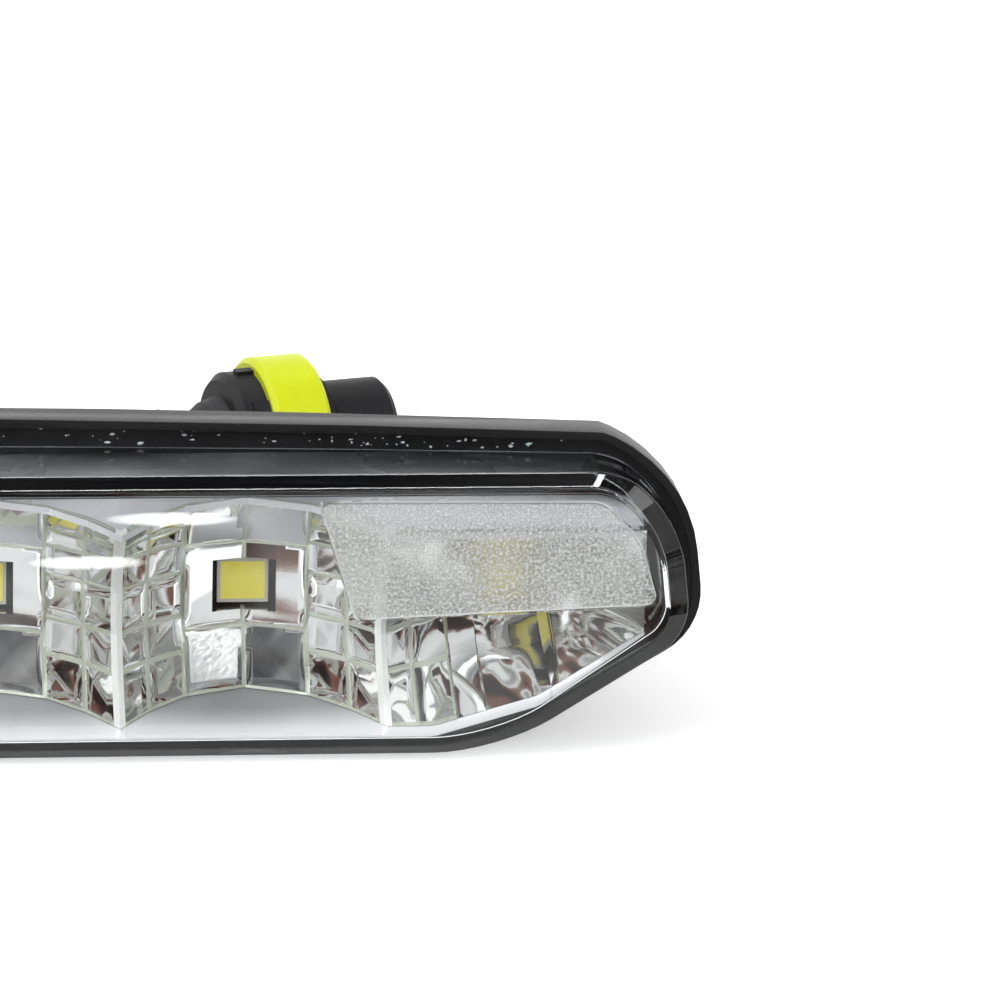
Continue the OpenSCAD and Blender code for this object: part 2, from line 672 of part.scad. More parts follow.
module connector_boot() color("#141516") on_connector()
    translate([0, 0, -collar_l / 2 - body_l])
        rotate_extrude($fn = round_fn)
            polygon([
                [0, 0], [cable_d / 2 + 1.9, 0], [cable_d / 2 + 1.5, -1.4], [cable_d / 2 + 0.9, -2.2],
                [cable_d / 2 + 0.7, -boot_l + 2.6], [cable_d / 2 + 1.2, -boot_l + 2], [cable_d / 2 + 1.2, -boot_l + 0.4],
                [cable_d / 2 + 0.8, -boot_l], [0, -boot_l]]);

module connector_body() color("#17181a") on_connector() {
    back = -collar_l / 2 - body_l;
    rotate_extrude($fn = round_fn)
        polygon([
            [0, back], [plug_r - 0.6, back], [plug_r, back + 0.6], [plug_r, -collar_l / 2], [neck_r, -collar_l / 2],
            [neck_r, collar_l / 2], [0, collar_l / 2]]);
    for (a = [0:45:315])
        rotate([0, 0, a])
            translate([plug_r - 0.4, -0.5, back + 1.2]) cube([0.7, 1, body_l - 1.2]);
}

module connector_collar() color("#c6d800") on_connector()
    translate([0, 0, -collar_l / 2])
        rotate_extrude($fn = round_fn)
            polygon([
                [neck_r, 0], [collar_r - 0.4, 0], [collar_r, 0.4], [collar_r, collar_l - 0.4],
                [collar_r - 0.4, collar_l], [neck_r, collar_l]]);

module connector_nose() color("#161719") on_connector()
    translate([0, 0, collar_l / 2])
        difference() {
            rotate_extrude($fn = round_fn)
                polygon([
                    [0, 0], [nose_r + 0.6, 0], [nose_r + 0.6, 1], [nose_r, 1.4], [nose_r, nose_l - 0.5],
                    [nose_r - 0.5, nose_l], [0, nose_l]]);
            for (s = [-1, 1])
                translate([0, s * 1.8, nose_l - contact_l - 1]) cylinder(r = contact_r + 0.25, h = nose_l, $fn = round_fn);
        }

module contact_sleeves() color("#c9a24a") on_connector()
    for (s = [-1, 1])
        translate([0, s * 1.8, collar_l / 2 + nose_l - contact_l - 1])
            difference() {
                cylinder(r = contact_r + 0.25, h = contact_l, $fn = round_fn);
                translate([0, 0, 1]) cylinder(r = contact_r, h = contact_l, $fn = round_fn);
            }

rear_housing();
front_lens();
sealant_bead();
reflector();
led_board();
thermal_pad();
heat_spreader();
board_screws();
driver_board();
driver_screws();
driver_inductor();
driver_capacitor();
driver_chip();
driver_diode();
board_pins();
vent_plug();
cable_grommet();
bracket_inserts();
lead_red();
lead_black();
cord();
connector_boot();
connector_body();
connector_collar();
connector_nose();
contact_sleeves();
for (i = [0:last])
    led(i);
for (i = [0:last])
    phosphor(i);
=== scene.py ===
import math
import random

import bmesh
import bpy
from mathutils import Matrix, Vector, noise


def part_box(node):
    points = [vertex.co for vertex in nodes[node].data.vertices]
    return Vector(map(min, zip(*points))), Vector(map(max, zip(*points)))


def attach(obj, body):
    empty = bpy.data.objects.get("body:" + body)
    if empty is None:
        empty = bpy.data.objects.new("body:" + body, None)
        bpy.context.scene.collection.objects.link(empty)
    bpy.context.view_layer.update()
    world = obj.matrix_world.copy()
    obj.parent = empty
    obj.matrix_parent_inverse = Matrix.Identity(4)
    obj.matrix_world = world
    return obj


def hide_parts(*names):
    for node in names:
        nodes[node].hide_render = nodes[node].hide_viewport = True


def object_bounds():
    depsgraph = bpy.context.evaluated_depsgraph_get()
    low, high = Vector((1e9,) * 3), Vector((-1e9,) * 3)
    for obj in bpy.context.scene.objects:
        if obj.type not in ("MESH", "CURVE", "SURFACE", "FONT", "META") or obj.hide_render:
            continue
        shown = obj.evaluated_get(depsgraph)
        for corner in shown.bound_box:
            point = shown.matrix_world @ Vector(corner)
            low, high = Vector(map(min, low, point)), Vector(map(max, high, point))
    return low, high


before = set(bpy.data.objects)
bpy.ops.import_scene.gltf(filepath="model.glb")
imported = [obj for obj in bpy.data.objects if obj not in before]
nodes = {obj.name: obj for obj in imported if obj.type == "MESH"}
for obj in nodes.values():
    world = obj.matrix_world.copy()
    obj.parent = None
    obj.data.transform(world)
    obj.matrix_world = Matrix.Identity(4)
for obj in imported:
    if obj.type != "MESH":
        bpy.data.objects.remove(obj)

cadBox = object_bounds()
mm = 0.001
scene = bpy.context.scene
coverLow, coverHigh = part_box("front_lens")
windowY = coverLow.y          # the plane of the window's outer face
tiny = 1e-9                   # room for rounding where places are compared


# Camera: right end of the lamp from the left and a little above, with a long lens
cameraView = {"aim": (65.9 * mm, windowY, 20.74 * mm), "yaw": 6.7, "tilt": 16.8, "roll": 1.46,
              "distance": 0.5, "focal": 249.84, "film": 36.0, "near": 0.01}


def addCamera(view):
    yaw, tilt, roll = (math.radians(view[k]) for k in ("yaw", "tilt", "roll"))
    ahead = Vector((math.sin(yaw) * math.cos(tilt), math.cos(yaw) * math.cos(tilt), -math.sin(tilt)))
    side = Vector((math.cos(yaw), -math.sin(yaw), 0))
    up = side.cross(ahead)
    side, up = (math.cos(roll) * side + math.sin(roll) * up, math.cos(roll) * up - math.sin(roll) * side)
    data = bpy.data.cameras.new("camera")
    data.lens = view["focal"]
    data.sensor_width = view["film"]
    data.clip_start = view["near"]
    cam = bpy.data.objects.new("camera", data)
    scene.collection.objects.link(cam)
    turn = Matrix((side, up, -ahead)).transposed()
    cam.matrix_world = Matrix.Translation(Vector(view["aim"]) - ahead * view["distance"]) @ turn.to_4x4()
    scene.camera = cam


# Cable: out of the grommet, down to the table, one loose loop and back past the lamp to its plug
cable = {"diameter": 4.5, "length": 0.2, "plug": (55, 41, 7), "plugTurn": 16, "plugReach": 12, "roundness": 6,
         "smoothness": 8, "boots": ("connector_boot", "connector_body", "connector_collar", "connector_nose",
                                    "contact_sleeves")}
cableRoute = [
    (0, 21, 10), (0, 27, 9.5), (0, 33, 7.5), (-0.4, 40, 4.6), (-3, 47, 2.9), (-9, 52.5, 2.3), (-18, 55, 2.3),
    (-27, 55, 2.3), (-36, 55, 2.3), (-45, 52.6, 2.3), (-51.6, 46, 2.3), (-54, 37, 2.3), (-51.6, 28, 2.3),
    (-45, 21.4, 2.3), (-36, 19, 2.3), (-26, 19, 2.3), (-16, 19, 2.3), (-7, 19.6, 2.3), (2, 21.6, 2.3),
    (10.5, 24.8, 2.5), (19, 28.6, 3.4), (27, 32.2, 4.8), (34.5, 35, 6.1), (39.5, 36.6, 6.8)]


def addCable():
    turn = math.radians(cable["plugTurn"])
    ahead = Vector((math.cos(turn), math.sin(turn), 0))
    tail = Vector(cable["plug"]) * mm - ahead * cable["plugReach"] * mm
    points = [Vector(p) * mm for p in cableRoute] + [tail]
    data = bpy.data.curves.new("cable", "CURVE")
    data.dimensions = "3D"
    data.bevel_depth = 1.0        # each knot's radius is then the cable's own
    data.bevel_resolution = cable["roundness"]
    data.resolution_u = cable["smoothness"]
    data.use_fill_caps = True
    spline = data.splines.new("BEZIER")
    spline.bezier_points.add(len(points) - 1)
    for knot, place in zip(spline.bezier_points, points):
        knot.co = place
        knot.radius = cable["diameter"] / 2 * mm
        knot.handle_left_type = knot.handle_right_type = "AUTO"
    piece = bpy.data.objects.new("cable", data)
    scene.collection.objects.link(piece)
    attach(piece, "root")
    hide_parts("cord")
    return piece


addCamera(cameraView)
cablePiece = addCable()
print("camera and cable made")


# Shared effects: each group gives colours, masks, values or normals that change over the surface

def newGroup(name, inputs, outputs):
    tree = bpy.data.node_groups.new(name, "ShaderNodeTree")
    for label, kind, value in inputs:
        socket = tree.interface.new_socket(label, in_out="INPUT", socket_type=kind)
        if value is not None:
            socket.default_value = value
    for label in outputs:
        tree.interface.new_socket(label, in_out="OUTPUT", socket_type="NodeSocketFloat")
    return tree, tree.nodes.new("NodeGroupInput"), tree.nodes.new("NodeGroupOutput")


def startMaterial(name):
    material = bpy.data.materials.new(name)
    material.use_nodes = True
    tree = material.node_tree
    return material, tree, tree.nodes["Principled BSDF"]


def addNode(tree, kind, **settings):
    node = tree.nodes.new(kind)
    for key, value in settings.items():
        setattr(node, key, value)
    return node


def setInputs(node, values):
    for label, value in values.items():
        node.inputs[label].default_value = value


def mathNode(tree, operation, first, second=None, third=None, clamp=False):
    node = addNode(tree, "ShaderNodeMath", operation=operation, use_clamp=clamp)
    for slot, value in enumerate((first, second, third)):
        if value is None:
            continue
        if isinstance(value, (int, float)):
            node.inputs[slot].default_value = value
        else:
            tree.links.new(value, node.inputs[slot])
    return node.outputs[0]


def noiseNode(tree, vector, scale, detail=2.0, rough=0.5):
    node = addNode(tree, "ShaderNodeTexNoise")
    setInputs(node, {"Detail": detail, "Roughness": rough})
    tree.links.new(vector, node.inputs["Vector"])
    if isinstance(scale, (int, float)):
        node.inputs["Scale"].default_value = scale
    else:
        tree.links.new(scale, node.inputs["Scale"])
    return node.outputs["Fac"]


def rangeNode(tree, value, low, high, newLow=0.0, newHigh=1.0):
    node = addNode(tree, "ShaderNodeMapRange")
    setInputs(node, {"From Min": low, "From Max": high, "To Min": newLow, "To Max": newHigh})
    tree.links.new(value, node.inputs["Value"])
    return node.outputs["Result"]


def mixColour(tree, factor, first, second):
    node = addNode(tree, "ShaderNodeMix", data_type="RGBA")
    tree.links.new(factor, node.inputs["Factor"])
    for label, colour in (("A", first), ("B", second)):
        if isinstance(colour, tuple):
            node.inputs[label].default_value = (*colour, 1)
        else:
            tree.links.new(colour, node.inputs[label])
    return node.outputs["Result"]


# Outputs of a shared effect placed in a material with its own values
def useGroup(tree, group, place, values):
    node = addNode(tree, "ShaderNodeGroup", node_tree=group)
    tree.links.new(place, node.inputs["Vector"])
    setInputs(node, values)
    return node.outputs


def addBump(tree, shader, height, strength, depth):
    bump = addNode(tree, "ShaderNodeBump")
    setInputs(bump, {"Strength": strength, "Distance": depth * mm})
    tree.links.new(height, bump.inputs["Height"])
    tree.links.new(bump.outputs["Normal"], shader.inputs["Normal"])


def objectPlace(tree):
    return addNode(tree, "ShaderNodeTexCoord").outputs["Object"]


# Spark-eroded mould texture: fine pits with a few larger ones
mouldGrain = {"detail": 3.0, "rough": 0.6, "broadShare": 0.23, "broadDetail": 2.0}


def makeMouldTexture():
    tree, start, end = newGroup(
        "mouldTexture", [("Vector", "NodeSocketVector", None), ("Grain", "NodeSocketFloat", 3200.0),
                         ("Coarse", "NodeSocketFloat", 0.4)], ["Height"])
    fine = noiseNode(tree, start.outputs["Vector"], start.outputs["Grain"], mouldGrain["detail"],
                     mouldGrain["rough"])
    broadScale = mathNode(tree, "MULTIPLY", start.outputs["Grain"], mouldGrain["broadShare"])
    broad = noiseNode(tree, start.outputs["Vector"], broadScale, mouldGrain["broadDetail"])
    height = mathNode(tree, "MULTIPLY_ADD", broad, start.outputs["Coarse"], fine)
    tree.links.new(height, end.inputs["Height"])
    return tree


# Handling marks: broad faint smears and a scatter of dust specks
handling = {"detail": 4.0, "rough": 0.55, "faint": 0.38, "full": 0.68, "speckScale": 900.0}


def makeHandling():
    tree, start, end = newGroup(
        "handlingMarks", [("Vector", "NodeSocketVector", None), ("Smear", "NodeSocketFloat", 90.0),
                          ("Dust", "NodeSocketFloat", 0.06)], ["Smears", "Specks"])
    smear = noiseNode(tree, start.outputs["Vector"], start.outputs["Smear"], handling["detail"],
                      handling["rough"])
    smears = rangeNode(tree, smear, handling["faint"], handling["full"])
    cells = addNode(tree, "ShaderNodeTexVoronoi", feature="F1")
    cells.inputs["Scale"].default_value = handling["speckScale"]
    tree.links.new(start.outputs["Vector"], cells.inputs["Vector"])
    specks = mathNode(tree, "LESS_THAN", cells.outputs["Distance"], start.outputs["Dust"])
    tree.links.new(smears, end.inputs["Smears"])
    tree.links.new(specks, end.inputs["Specks"])
    return tree


# The etched field in millimetres on the window: corners with their radii, and the look of its grain
frostPatch = {"blend": 1.0, "soft": 0.04, "reach": 0.3, "rim": 0.13, "rimHeight": 1.1, "rough": 0.2,
              "grain": 4200.0, "detail": 3.0, "grainRough": 0.65, "haze": (0.42, 0.62, 0.14, 0.72),
              "colour": (0.84, 0.85, 0.84), "rimColour": (0.95, 0.96, 0.95), "hazeRough": 0.42,
              "hazeBump": (0.8, 0.1), "bump": (0.55, 0.08), "depth": 0.05, "thick": 0.02,
              "corners": [(77.7, 12.7, 0.7), (76.2, 17.7, 3.0), (73.5, 20.5, 1.4), (52.85, 20.65, 0.9),
                          (55.66, 11.75, 1.4)]}


# Bare etched field on the window, with rounded corners and a slight raised rim
def makeFrostField():
    tree, start, end = newGroup(
        "frostField", [("Vector", "NodeSocketVector", None),
                       ("Grain", "NodeSocketFloat", frostPatch["grain"])],
        ["Mask", "Height", "Haze", "Rim"])
    split = addNode(tree, "ShaderNodeSeparateXYZ")
    tree.links.new(start.outputs["Vector"], split.inputs[0])
    field = frostPatch["corners"]
    inside = None
    for (x0, z0, _), (x1, z1, _) in zip(field, field[1:] + field[:1]):
        run = math.hypot(x1 - x0, z1 - z0)
        nx, nz = (z1 - z0) / run, -(x1 - x0) / run
        away = mathNode(tree, "MULTIPLY_ADD", split.outputs["X"], nx / mm, -(nx * x0 + nz * z0))
        away = mathNode(tree, "MULTIPLY_ADD", split.outputs["Z"], nz / mm, away)
        inside = away if inside is None else mathNode(tree, "SMOOTH_MAX", inside, away, frostPatch["blend"])
    front = mathNode(tree, "LESS_THAN", split.outputs["Y"], windowY + frostPatch["reach"] * mm)
    mask = rangeNode(tree, inside, frostPatch["soft"], -frostPatch["soft"])
    mask = mathNode(tree, "MULTIPLY", mask, front)
    rim = mathNode(tree, "DIVIDE", mathNode(tree, "ABSOLUTE", inside), frostPatch["rim"])
    rim = mathNode(tree, "MULTIPLY", mathNode(tree, "SUBTRACT", 1.0, rim, clamp=True), front)
    grain = noiseNode(tree, start.outputs["Vector"], start.outputs["Grain"], frostPatch["detail"],
                      frostPatch["grainRough"])
    haze = rangeNode(tree, grain, *frostPatch["haze"])
    etched = mathNode(tree, "MULTIPLY", grain, mask)
    height = mathNode(tree, "MULTIPLY_ADD", rim, frostPatch["rimHeight"], etched)
    for label, value in (("Mask", mask), ("Height", height), ("Haze", haze), ("Rim", rim)):
        tree.links.new(value, end.inputs[label])
    return tree


# Painted shade that grows from one place to another along an axis of the piece
def makeAxisShade():
    tree, start, end = newGroup(
        "axisShade", [("Vector", "NodeSocketVector", None), ("Axis", "NodeSocketVector", (0, 1, 0)),
                      ("From", "NodeSocketFloat", 0.0), ("To", "NodeSocketFloat", 1.0)], ["Shade"])
    along = addNode(tree, "ShaderNodeVectorMath", operation="DOT_PRODUCT")
    tree.links.new(start.outputs["Vector"], along.inputs[0])
    tree.links.new(start.outputs["Axis"], along.inputs[1])
    ramp = addNode(tree, "ShaderNodeMapRange", interpolation_type="SMOOTHSTEP")
    tree.links.new(along.outputs["Value"], ramp.inputs["Value"])
    tree.links.new(start.outputs["From"], ramp.inputs["From Min"])
    tree.links.new(start.outputs["To"], ramp.inputs["From Max"])
    tree.links.new(ramp.outputs["Result"], end.inputs["Shade"])
    return tree


axisShade = makeAxisShade()
mouldTexture = makeMouldTexture()
handlingMarks = makeHandling()
frostField = makeFrostField()


def addShade(tree, place, axis, low, high):
    return useGroup(tree, axisShade, place, {"Axis": axis, "From": low, "To": high})["Shade"]


# What a finish has where its own entry says nothing
plainLook = {"grain": 3200.0, "smear": 90.0, "dust": 0.0, "speck": (0.6, 0.6, 0.6), "bump": 0.2, "depth": 0.04,
             "metal": 0.0, "shine": 0.5, "coat": 0.0, "coatRough": 0.08, "subsurface": 0.0,
             "subsurfaceScale": 0.5, "glow": 0.0}


# One solid finish: base and second colour, roughness range, mould grain and handling marks
def makeFinish(name, ownLook):
    look = {**plainLook, **ownLook}
    material, tree, shader = startMaterial(name)
    place = objectPlace(tree)
    grain = useGroup(tree, mouldTexture, place, {"Grain": look["grain"]})
    marks = useGroup(tree, handlingMarks, place, {"Smear": look["smear"], "Dust": look["dust"]})
    colour = mixColour(tree, marks["Smears"], look["colour"], look["second"])
    colour = mixColour(tree, marks["Specks"], colour, look["speck"])
    # Painted shade: the colour darkens between two depths behind the window, further back under the bowls
    if "paintedShade" in look:
        paintedShade = look["paintedShade"]
        amount = addShade(tree, place, (0, 1, 0), windowY + paintedShade["from"] * mm, windowY + paintedShade["to"] * mm)
        colour = mixColour(tree, amount, colour, paintedShade["colour"])
    tree.links.new(colour, shader.inputs["Base Color"])
    tree.links.new(rangeNode(tree, marks["Smears"], 0.0, 1.0, *look["rough"]), shader.inputs["Roughness"])
    addBump(tree, shader, grain["Height"], look["bump"], look["depth"])
    # Where a finish has a glow, that is painted light: the surface gives off its own colour though it is no
    # lamp
    setInputs(shader, {
        "Metallic": look["metal"], "Specular IOR Level": look["shine"],
        "Coat Weight": look["coat"], "Coat Roughness": look["coatRough"],
        "Subsurface Weight": look["subsurface"], "Subsurface Scale": look["subsurfaceScale"] * mm,
        "Emission Color": (*look["colour"], 1), "Emission Strength": look["glow"]})
    return material


# What the clear cover is like: a painted shade darkens its bevel only, between the near and the far depth
coverLook = {"clear": (0.975, 0.99, 0.992), "bevelShade": (0.16, 0.165, 0.18), "bevelShadeNear": (0.04, 0.12),
             "bevelShadeFar": (1.1, 0.95), "rough": 0.012, "ior": 1.52, "lets": (0.93, 0.94, 0.945, 1)}


# Clear polycarbonate: a plain glass shader, etched in one field, with a painted shade on its bevel, that lets
# lamp light through to the inside
def makeClearCover():
    material, tree, shader = startMaterial("clearPolycarbonate")
    setInputs(shader, {"Transmission Weight": 1.0, "IOR": coverLook["ior"]})
    place = objectPlace(tree)
    # Painted shade: the base colour turns dark on the bevel, standing in for the dark seen in it
    near = [windowY + depth * mm for depth in coverLook["bevelShadeNear"]]
    far = [-windowY - depth * mm for depth in coverLook["bevelShadeFar"]]
    onBevel = mathNode(tree, "MULTIPLY", addShade(tree, place, (0, 1, 0), *near),
                       addShade(tree, place, (0, -1, 0), *far))
    colour = mixColour(tree, onBevel, coverLook["clear"], coverLook["bevelShade"])
    tree.links.new(colour, shader.inputs["Base Color"])
    frost = useGroup(tree, frostField, place, {})
    rough = rangeNode(tree, frost["Mask"], 0.0, 1.0, coverLook["rough"], frostPatch["rough"])
    tree.links.new(rough, shader.inputs["Roughness"])
    addBump(tree, shader, frost["Height"], *frostPatch["bump"])
    clear = addNode(tree, "ShaderNodeBsdfTransparent")
    clear.inputs["Color"].default_value = coverLook["lets"]
    mix = addNode(tree, "ShaderNodeMixShader")
    light = addNode(tree, "ShaderNodeLightPath")
    tree.links.new(light.outputs["Is Shadow Ray"], mix.inputs["Fac"])
    tree.links.new(shader.outputs["BSDF"], mix.inputs[1])
    tree.links.new(clear.outputs["BSDF"], mix.inputs[2])
    tree.links.new(mix.outputs["Shader"], tree.nodes["Material Output"].inputs["Surface"])
    return material


# Haze of the etched field: pale grain that hides part of what lies behind it
def makeFrostHaze():
    material, tree, shader = startMaterial("frostHaze")
    shader.inputs["Roughness"].default_value = frostPatch["hazeRough"]
    frost = useGroup(tree, frostField, objectPlace(tree), {})
    colour = mixColour(tree, frost["Rim"], frostPatch["colour"], frostPatch["rimColour"])
    tree.links.new(colour, shader.inputs["Base Color"])
    tree.links.new(mathNode(tree, "MAXIMUM", frost["Haze"], frost["Rim"]), shader.inputs["Alpha"])
    addBump(tree, shader, frost["Height"], *frostPatch["hazeBump"])
    return material


# Colours, roughness ranges and grain; on the lower land a painted shade darkens the colour between two depths
# behind the window
finishes = {
    "housingPlastic": {"colour": (0.009, 0.009, 0.010), "second": (0.014, 0.014, 0.015),
                       "rough": (0.30, 0.42), "grain": 3600.0, "bump": 0.5, "depth": 0.05, "dust": 0.05,
                       "speck": (0.2, 0.2, 0.2), "shine": 0.2},
    "sealantBlack": {"colour": (0.008, 0.008, 0.009), "second": (0.016, 0.016, 0.017), "rough": (0.12, 0.3),
                     "grain": 900.0, "bump": 0.6, "depth": 0.15, "shine": 0.15},
    "glueCrumbs": {"colour": (0.75, 0.76, 0.77), "second": (0.45, 0.45, 0.46), "rough": (0.35, 0.6),
                   "grain": 4000.0, "bump": 0.5, "subsurface": 0.2, "smear": 700.0},
    "chromeMirror": {"colour": (0.90, 0.905, 0.90), "second": (0.84, 0.85, 0.84), "rough": (0.03, 0.07),
                     "metal": 1.0, "grain": 900.0, "bump": 0.05, "depth": 0.03},
    # The lower land carries a painted shade that darkens it further back, under the bowls
    "satinLand": {"colour": (0.84, 0.84, 0.86), "second": (0.76, 0.76, 0.78), "rough": (0.35, 0.5),
                  "metal": 0.25, "grain": 1500.0, "bump": 0.1, "depth": 0.03,
                  "paintedShade": {"from": 2, "to": 8, "colour": (0.33, 0.33, 0.35)}},
    "satinCove": {"colour": (0.80, 0.81, 0.84), "second": (0.66, 0.67, 0.70), "rough": (0.25, 0.38),
                  "metal": 0.35, "grain": 1500.0, "bump": 0.1, "depth": 0.03},
    # The ridge's glow is painted light that brightens it
    "satinRidge": {"colour": (0.94, 0.95, 0.93), "second": (0.8, 0.82, 0.8), "rough": (0.3, 0.45),
                   "metal": 0.2, "grain": 2200.0, "bump": 0.2, "depth": 0.03, "glow": 0.05},
    "satinRib": {"colour": (0.74, 0.78, 0.68), "second": (0.6, 0.64, 0.54), "rough": (0.2, 0.35),
                 "metal": 0.6, "grain": 2200.0, "bump": 0.2, "depth": 0.03},
    # The LED board is dark as a black solder mask, and also as painted shade for the dark inside the openings
    # round the LEDs
    "boardDark": {"colour": (0.035, 0.045, 0.04), "second": (0.05, 0.06, 0.055), "rough": (0.3, 0.45)},
    "thermalSilicone": {"colour": (0.25, 0.32, 0.4), "second": (0.3, 0.37, 0.45), "rough": (0.6, 0.8)},
    "castAluminium": {"colour": (0.62, 0.63, 0.64), "second": (0.5, 0.51, 0.52), "rough": (0.3, 0.5),
                      "metal": 1.0},
    "screwSteel": {"colour": (0.5, 0.51, 0.52), "second": (0.4, 0.4, 0.41), "rough": (0.25, 0.4),
                   "metal": 1.0},
    "boardGreen": {"colour": (0.02, 0.14, 0.06), "second": (0.03, 0.18, 0.08), "rough": (0.3, 0.45)},
    "chipBlack": {"colour": (0.02, 0.02, 0.022), "second": (0.03, 0.03, 0.032), "rough": (0.4, 0.6)},
    "insertBrass": {"colour": (0.72, 0.50, 0.20), "second": (0.6, 0.42, 0.17), "rough": (0.22, 0.4),
                    "metal": 1.0},
    "ventPlastic": {"colour": (0.045, 0.046, 0.05), "second": (0.055, 0.056, 0.06), "rough": (0.4, 0.55),
                    "grain": 3000.0, "bump": 0.3},
    "grommetRubber": {"colour": (0.008, 0.008, 0.009), "second": (0.014, 0.014, 0.015), "rough": (0.5, 0.68),
                      "grain": 2600.0, "bump": 0.3, "shine": 0.12},
    "leadRed": {"colour": (0.42, 0.015, 0.02), "second": (0.36, 0.012, 0.018), "rough": (0.3, 0.42)},
    "leadBlack": {"colour": (0.015, 0.015, 0.016), "second": (0.02, 0.02, 0.022), "rough": (0.3, 0.42)},
    "cableJacket": {"colour": (0.014, 0.014, 0.015), "second": (0.022, 0.022, 0.023), "rough": (0.36, 0.5),
                    "grain": 2200.0, "bump": 0.2, "shine": 0.2},
    "plugPlastic": {"colour": (0.008, 0.008, 0.009), "second": (0.014, 0.014, 0.015), "rough": (0.38, 0.52),
                    "grain": 3000.0, "bump": 0.3, "shine": 0.08},
    "limeSilicone": {"colour": (0.66, 0.72, 0.006), "second": (0.58, 0.66, 0.006), "rough": (0.3, 0.45),
                     "subsurface": 0.15, "shine": 0.25},
    "ledCeramic": {"colour": (0.72, 0.70, 0.62), "second": (0.66, 0.64, 0.56), "rough": (0.35, 0.5)},
    # The phosphor's glow is painted light that makes the gel look paler and brighter
    "phosphorGel": {"colour": (0.90, 0.80, 0.13), "second": (0.93, 0.84, 0.20), "rough": (0.25, 0.4),
                    "subsurface": 0.3, "smear": 400.0, "coat": 0.3, "glow": 0.16},
}
looks = {name: makeFinish(name, look) for name, look in finishes.items()}
looks["clearPolycarbonate"] = makeClearCover()
looks["frostHaze"] = makeFrostHaze()
print("finishes made:", len(looks))

# The finish of each node that keeps its own solid
nodeFinish = {
    "sealant_bead": "sealantBlack", "led_board": "boardDark", "thermal_pad": "thermalSilicone",
    "heat_spreader": "castAluminium", "board_screws": "screwSteel", "driver_board": "boardGreen",
    "driver_screws": "screwSteel", "driver_inductor": "chipBlack", "driver_capacitor": "castAluminium",
    "driver_chip": "chipBlack", "driver_diode": "chipBlack", "board_pins": "insertBrass",
    "vent_plug": "ventPlastic", "cable_grommet": "grommetRubber", "bracket_inserts": "insertBrass",
    "lead_red": "leadRed", "lead_black": "leadBlack", "connector_boot": "grommetRubber",
    "connector_body": "plugPlastic", "connector_collar": "limeSilicone", "connector_nose": "plugPlastic",
    "contact_sleeves": "insertBrass", "cord": "cableJacket", "rear_housing": "housingPlastic",
    "front_lens": "clearPolycarbonate", "reflector": "chromeMirror"}
for name, piece in nodes.items():
    finish = nodeFinish.get(name) or ("phosphorGel" if name.startswith("phosphor") else "ledCeramic")
    piece.data.materials.clear()
    piece.data.materials.append(looks[finish])
cablePiece.data.materials.append(looks["cableJacket"])


def finishPiece(name, bm, finish, slotName, *replaced):
    mesh = bpy.data.meshes.new(name)
    bm.to_mesh(mesh)
    bm.free()
    mesh.materials.append(looks[finish])
    piece = bpy.data.objects.new(name, mesh)
    scene.collection.objects.link(piece)
    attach(piece, "root")
    if replaced:
        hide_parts(*replaced)
    return piece


# The rounded mesh takes the place of the mesh and its modifier
def bakeModifiers(piece):
    bpy.context.view_layer.update()
    result = bpy.data.meshes.new_from_object(piece.evaluated_get(bpy.context.evaluated_depsgraph_get()))
    piece.modifiers.clear()
    piece.data = result


def keepCrisp(piece, width, segments, angle):
    rounding = piece.modifiers.new("edges", "BEVEL")
    rounding.width = width
    rounding.segments = segments
    rounding.limit_method = "ANGLE"
    rounding.angle_limit = math.radians(angle)
    rounding.harden_normals = True
    for face in piece.data.polygons:
        face.use_smooth = True


# Clear cover: outline corners of the right half as on the drawing, from the slant's foot to the top corner
cover = {"half": 80.3, "slantRun": 14.0, "widest": 8.9, "shoulder": 17.5, "shoulderLean": 1.0, "topLean": 5.4,
         "corners": (16.0, 4.0, 9.0, 5.0), "wall": 1.6, "window": 1.6, "bevelDepth": 0.9, "bevelEnd": 1.6,
         "seat": 10.47, "footDrop": 0.5, "footFade": 4.0, "bowRadius": 800.0, "cuts": 24, "weld": 0.001,
         "edge": 0.16, "edgeSegments": 3, "edgeAngle": 22, "arcDegrees": 4, "arcLeast": 4}
halfLength = cover["half"]
coverFoot, coverTop = coverLow.z / mm, coverHigh.z / mm


def outlineCorners():
    right = [(halfLength - cover["slantRun"], coverFoot), (halfLength, coverFoot + cover["widest"]),
             (halfLength - cover["shoulderLean"], coverFoot + cover["shoulder"]),
             (halfLength - cover["topLean"], coverTop)]
    corners = [(x, z, radius) for (x, z), radius in zip(right, cover["corners"])]
    span = halfLength - cover["slantRun"] - cover["corners"][0] / 2
    between = [span * (1 - 2 * i / cover["cuts"]) for i in range(cover["cuts"] + 1)]
    left = [(-x, z, radius) for x, z, radius in reversed(corners)]
    return corners + [(x, coverTop, 0) for x in between] + left + [(-x, coverFoot, 0) for x in between]


# Face with an outline given as corners and radii
def outlineFace(bm, depth, places):
    others = set(bm.faces)
    corners = [bm.verts.new((x * mm, depth, z * mm)) for x, z, _ in places]
    bm.faces.new(corners)
    bends = []
    for i, vert in enumerate(corners):
        a = corners[i - 1].co - vert.co
        b = corners[(i + 1) % len(corners)].co - vert.co
        bends.append(math.pi - a.angle(b))
    for vert, bend, (_, _, radius) in zip(corners, bends, places):
        if radius:
            segments = max(cover["arcLeast"], round(math.degrees(bend) / cover["arcDegrees"]))
            bmesh.ops.bevel(bm, geom=[vert], offset=radius * math.tan(bend / 2) * mm, offset_type="OFFSET",
                            segments=segments, profile=0.5, affect="VERTICES", material=-1)
    return next(f for f in bm.faces if f not in others)


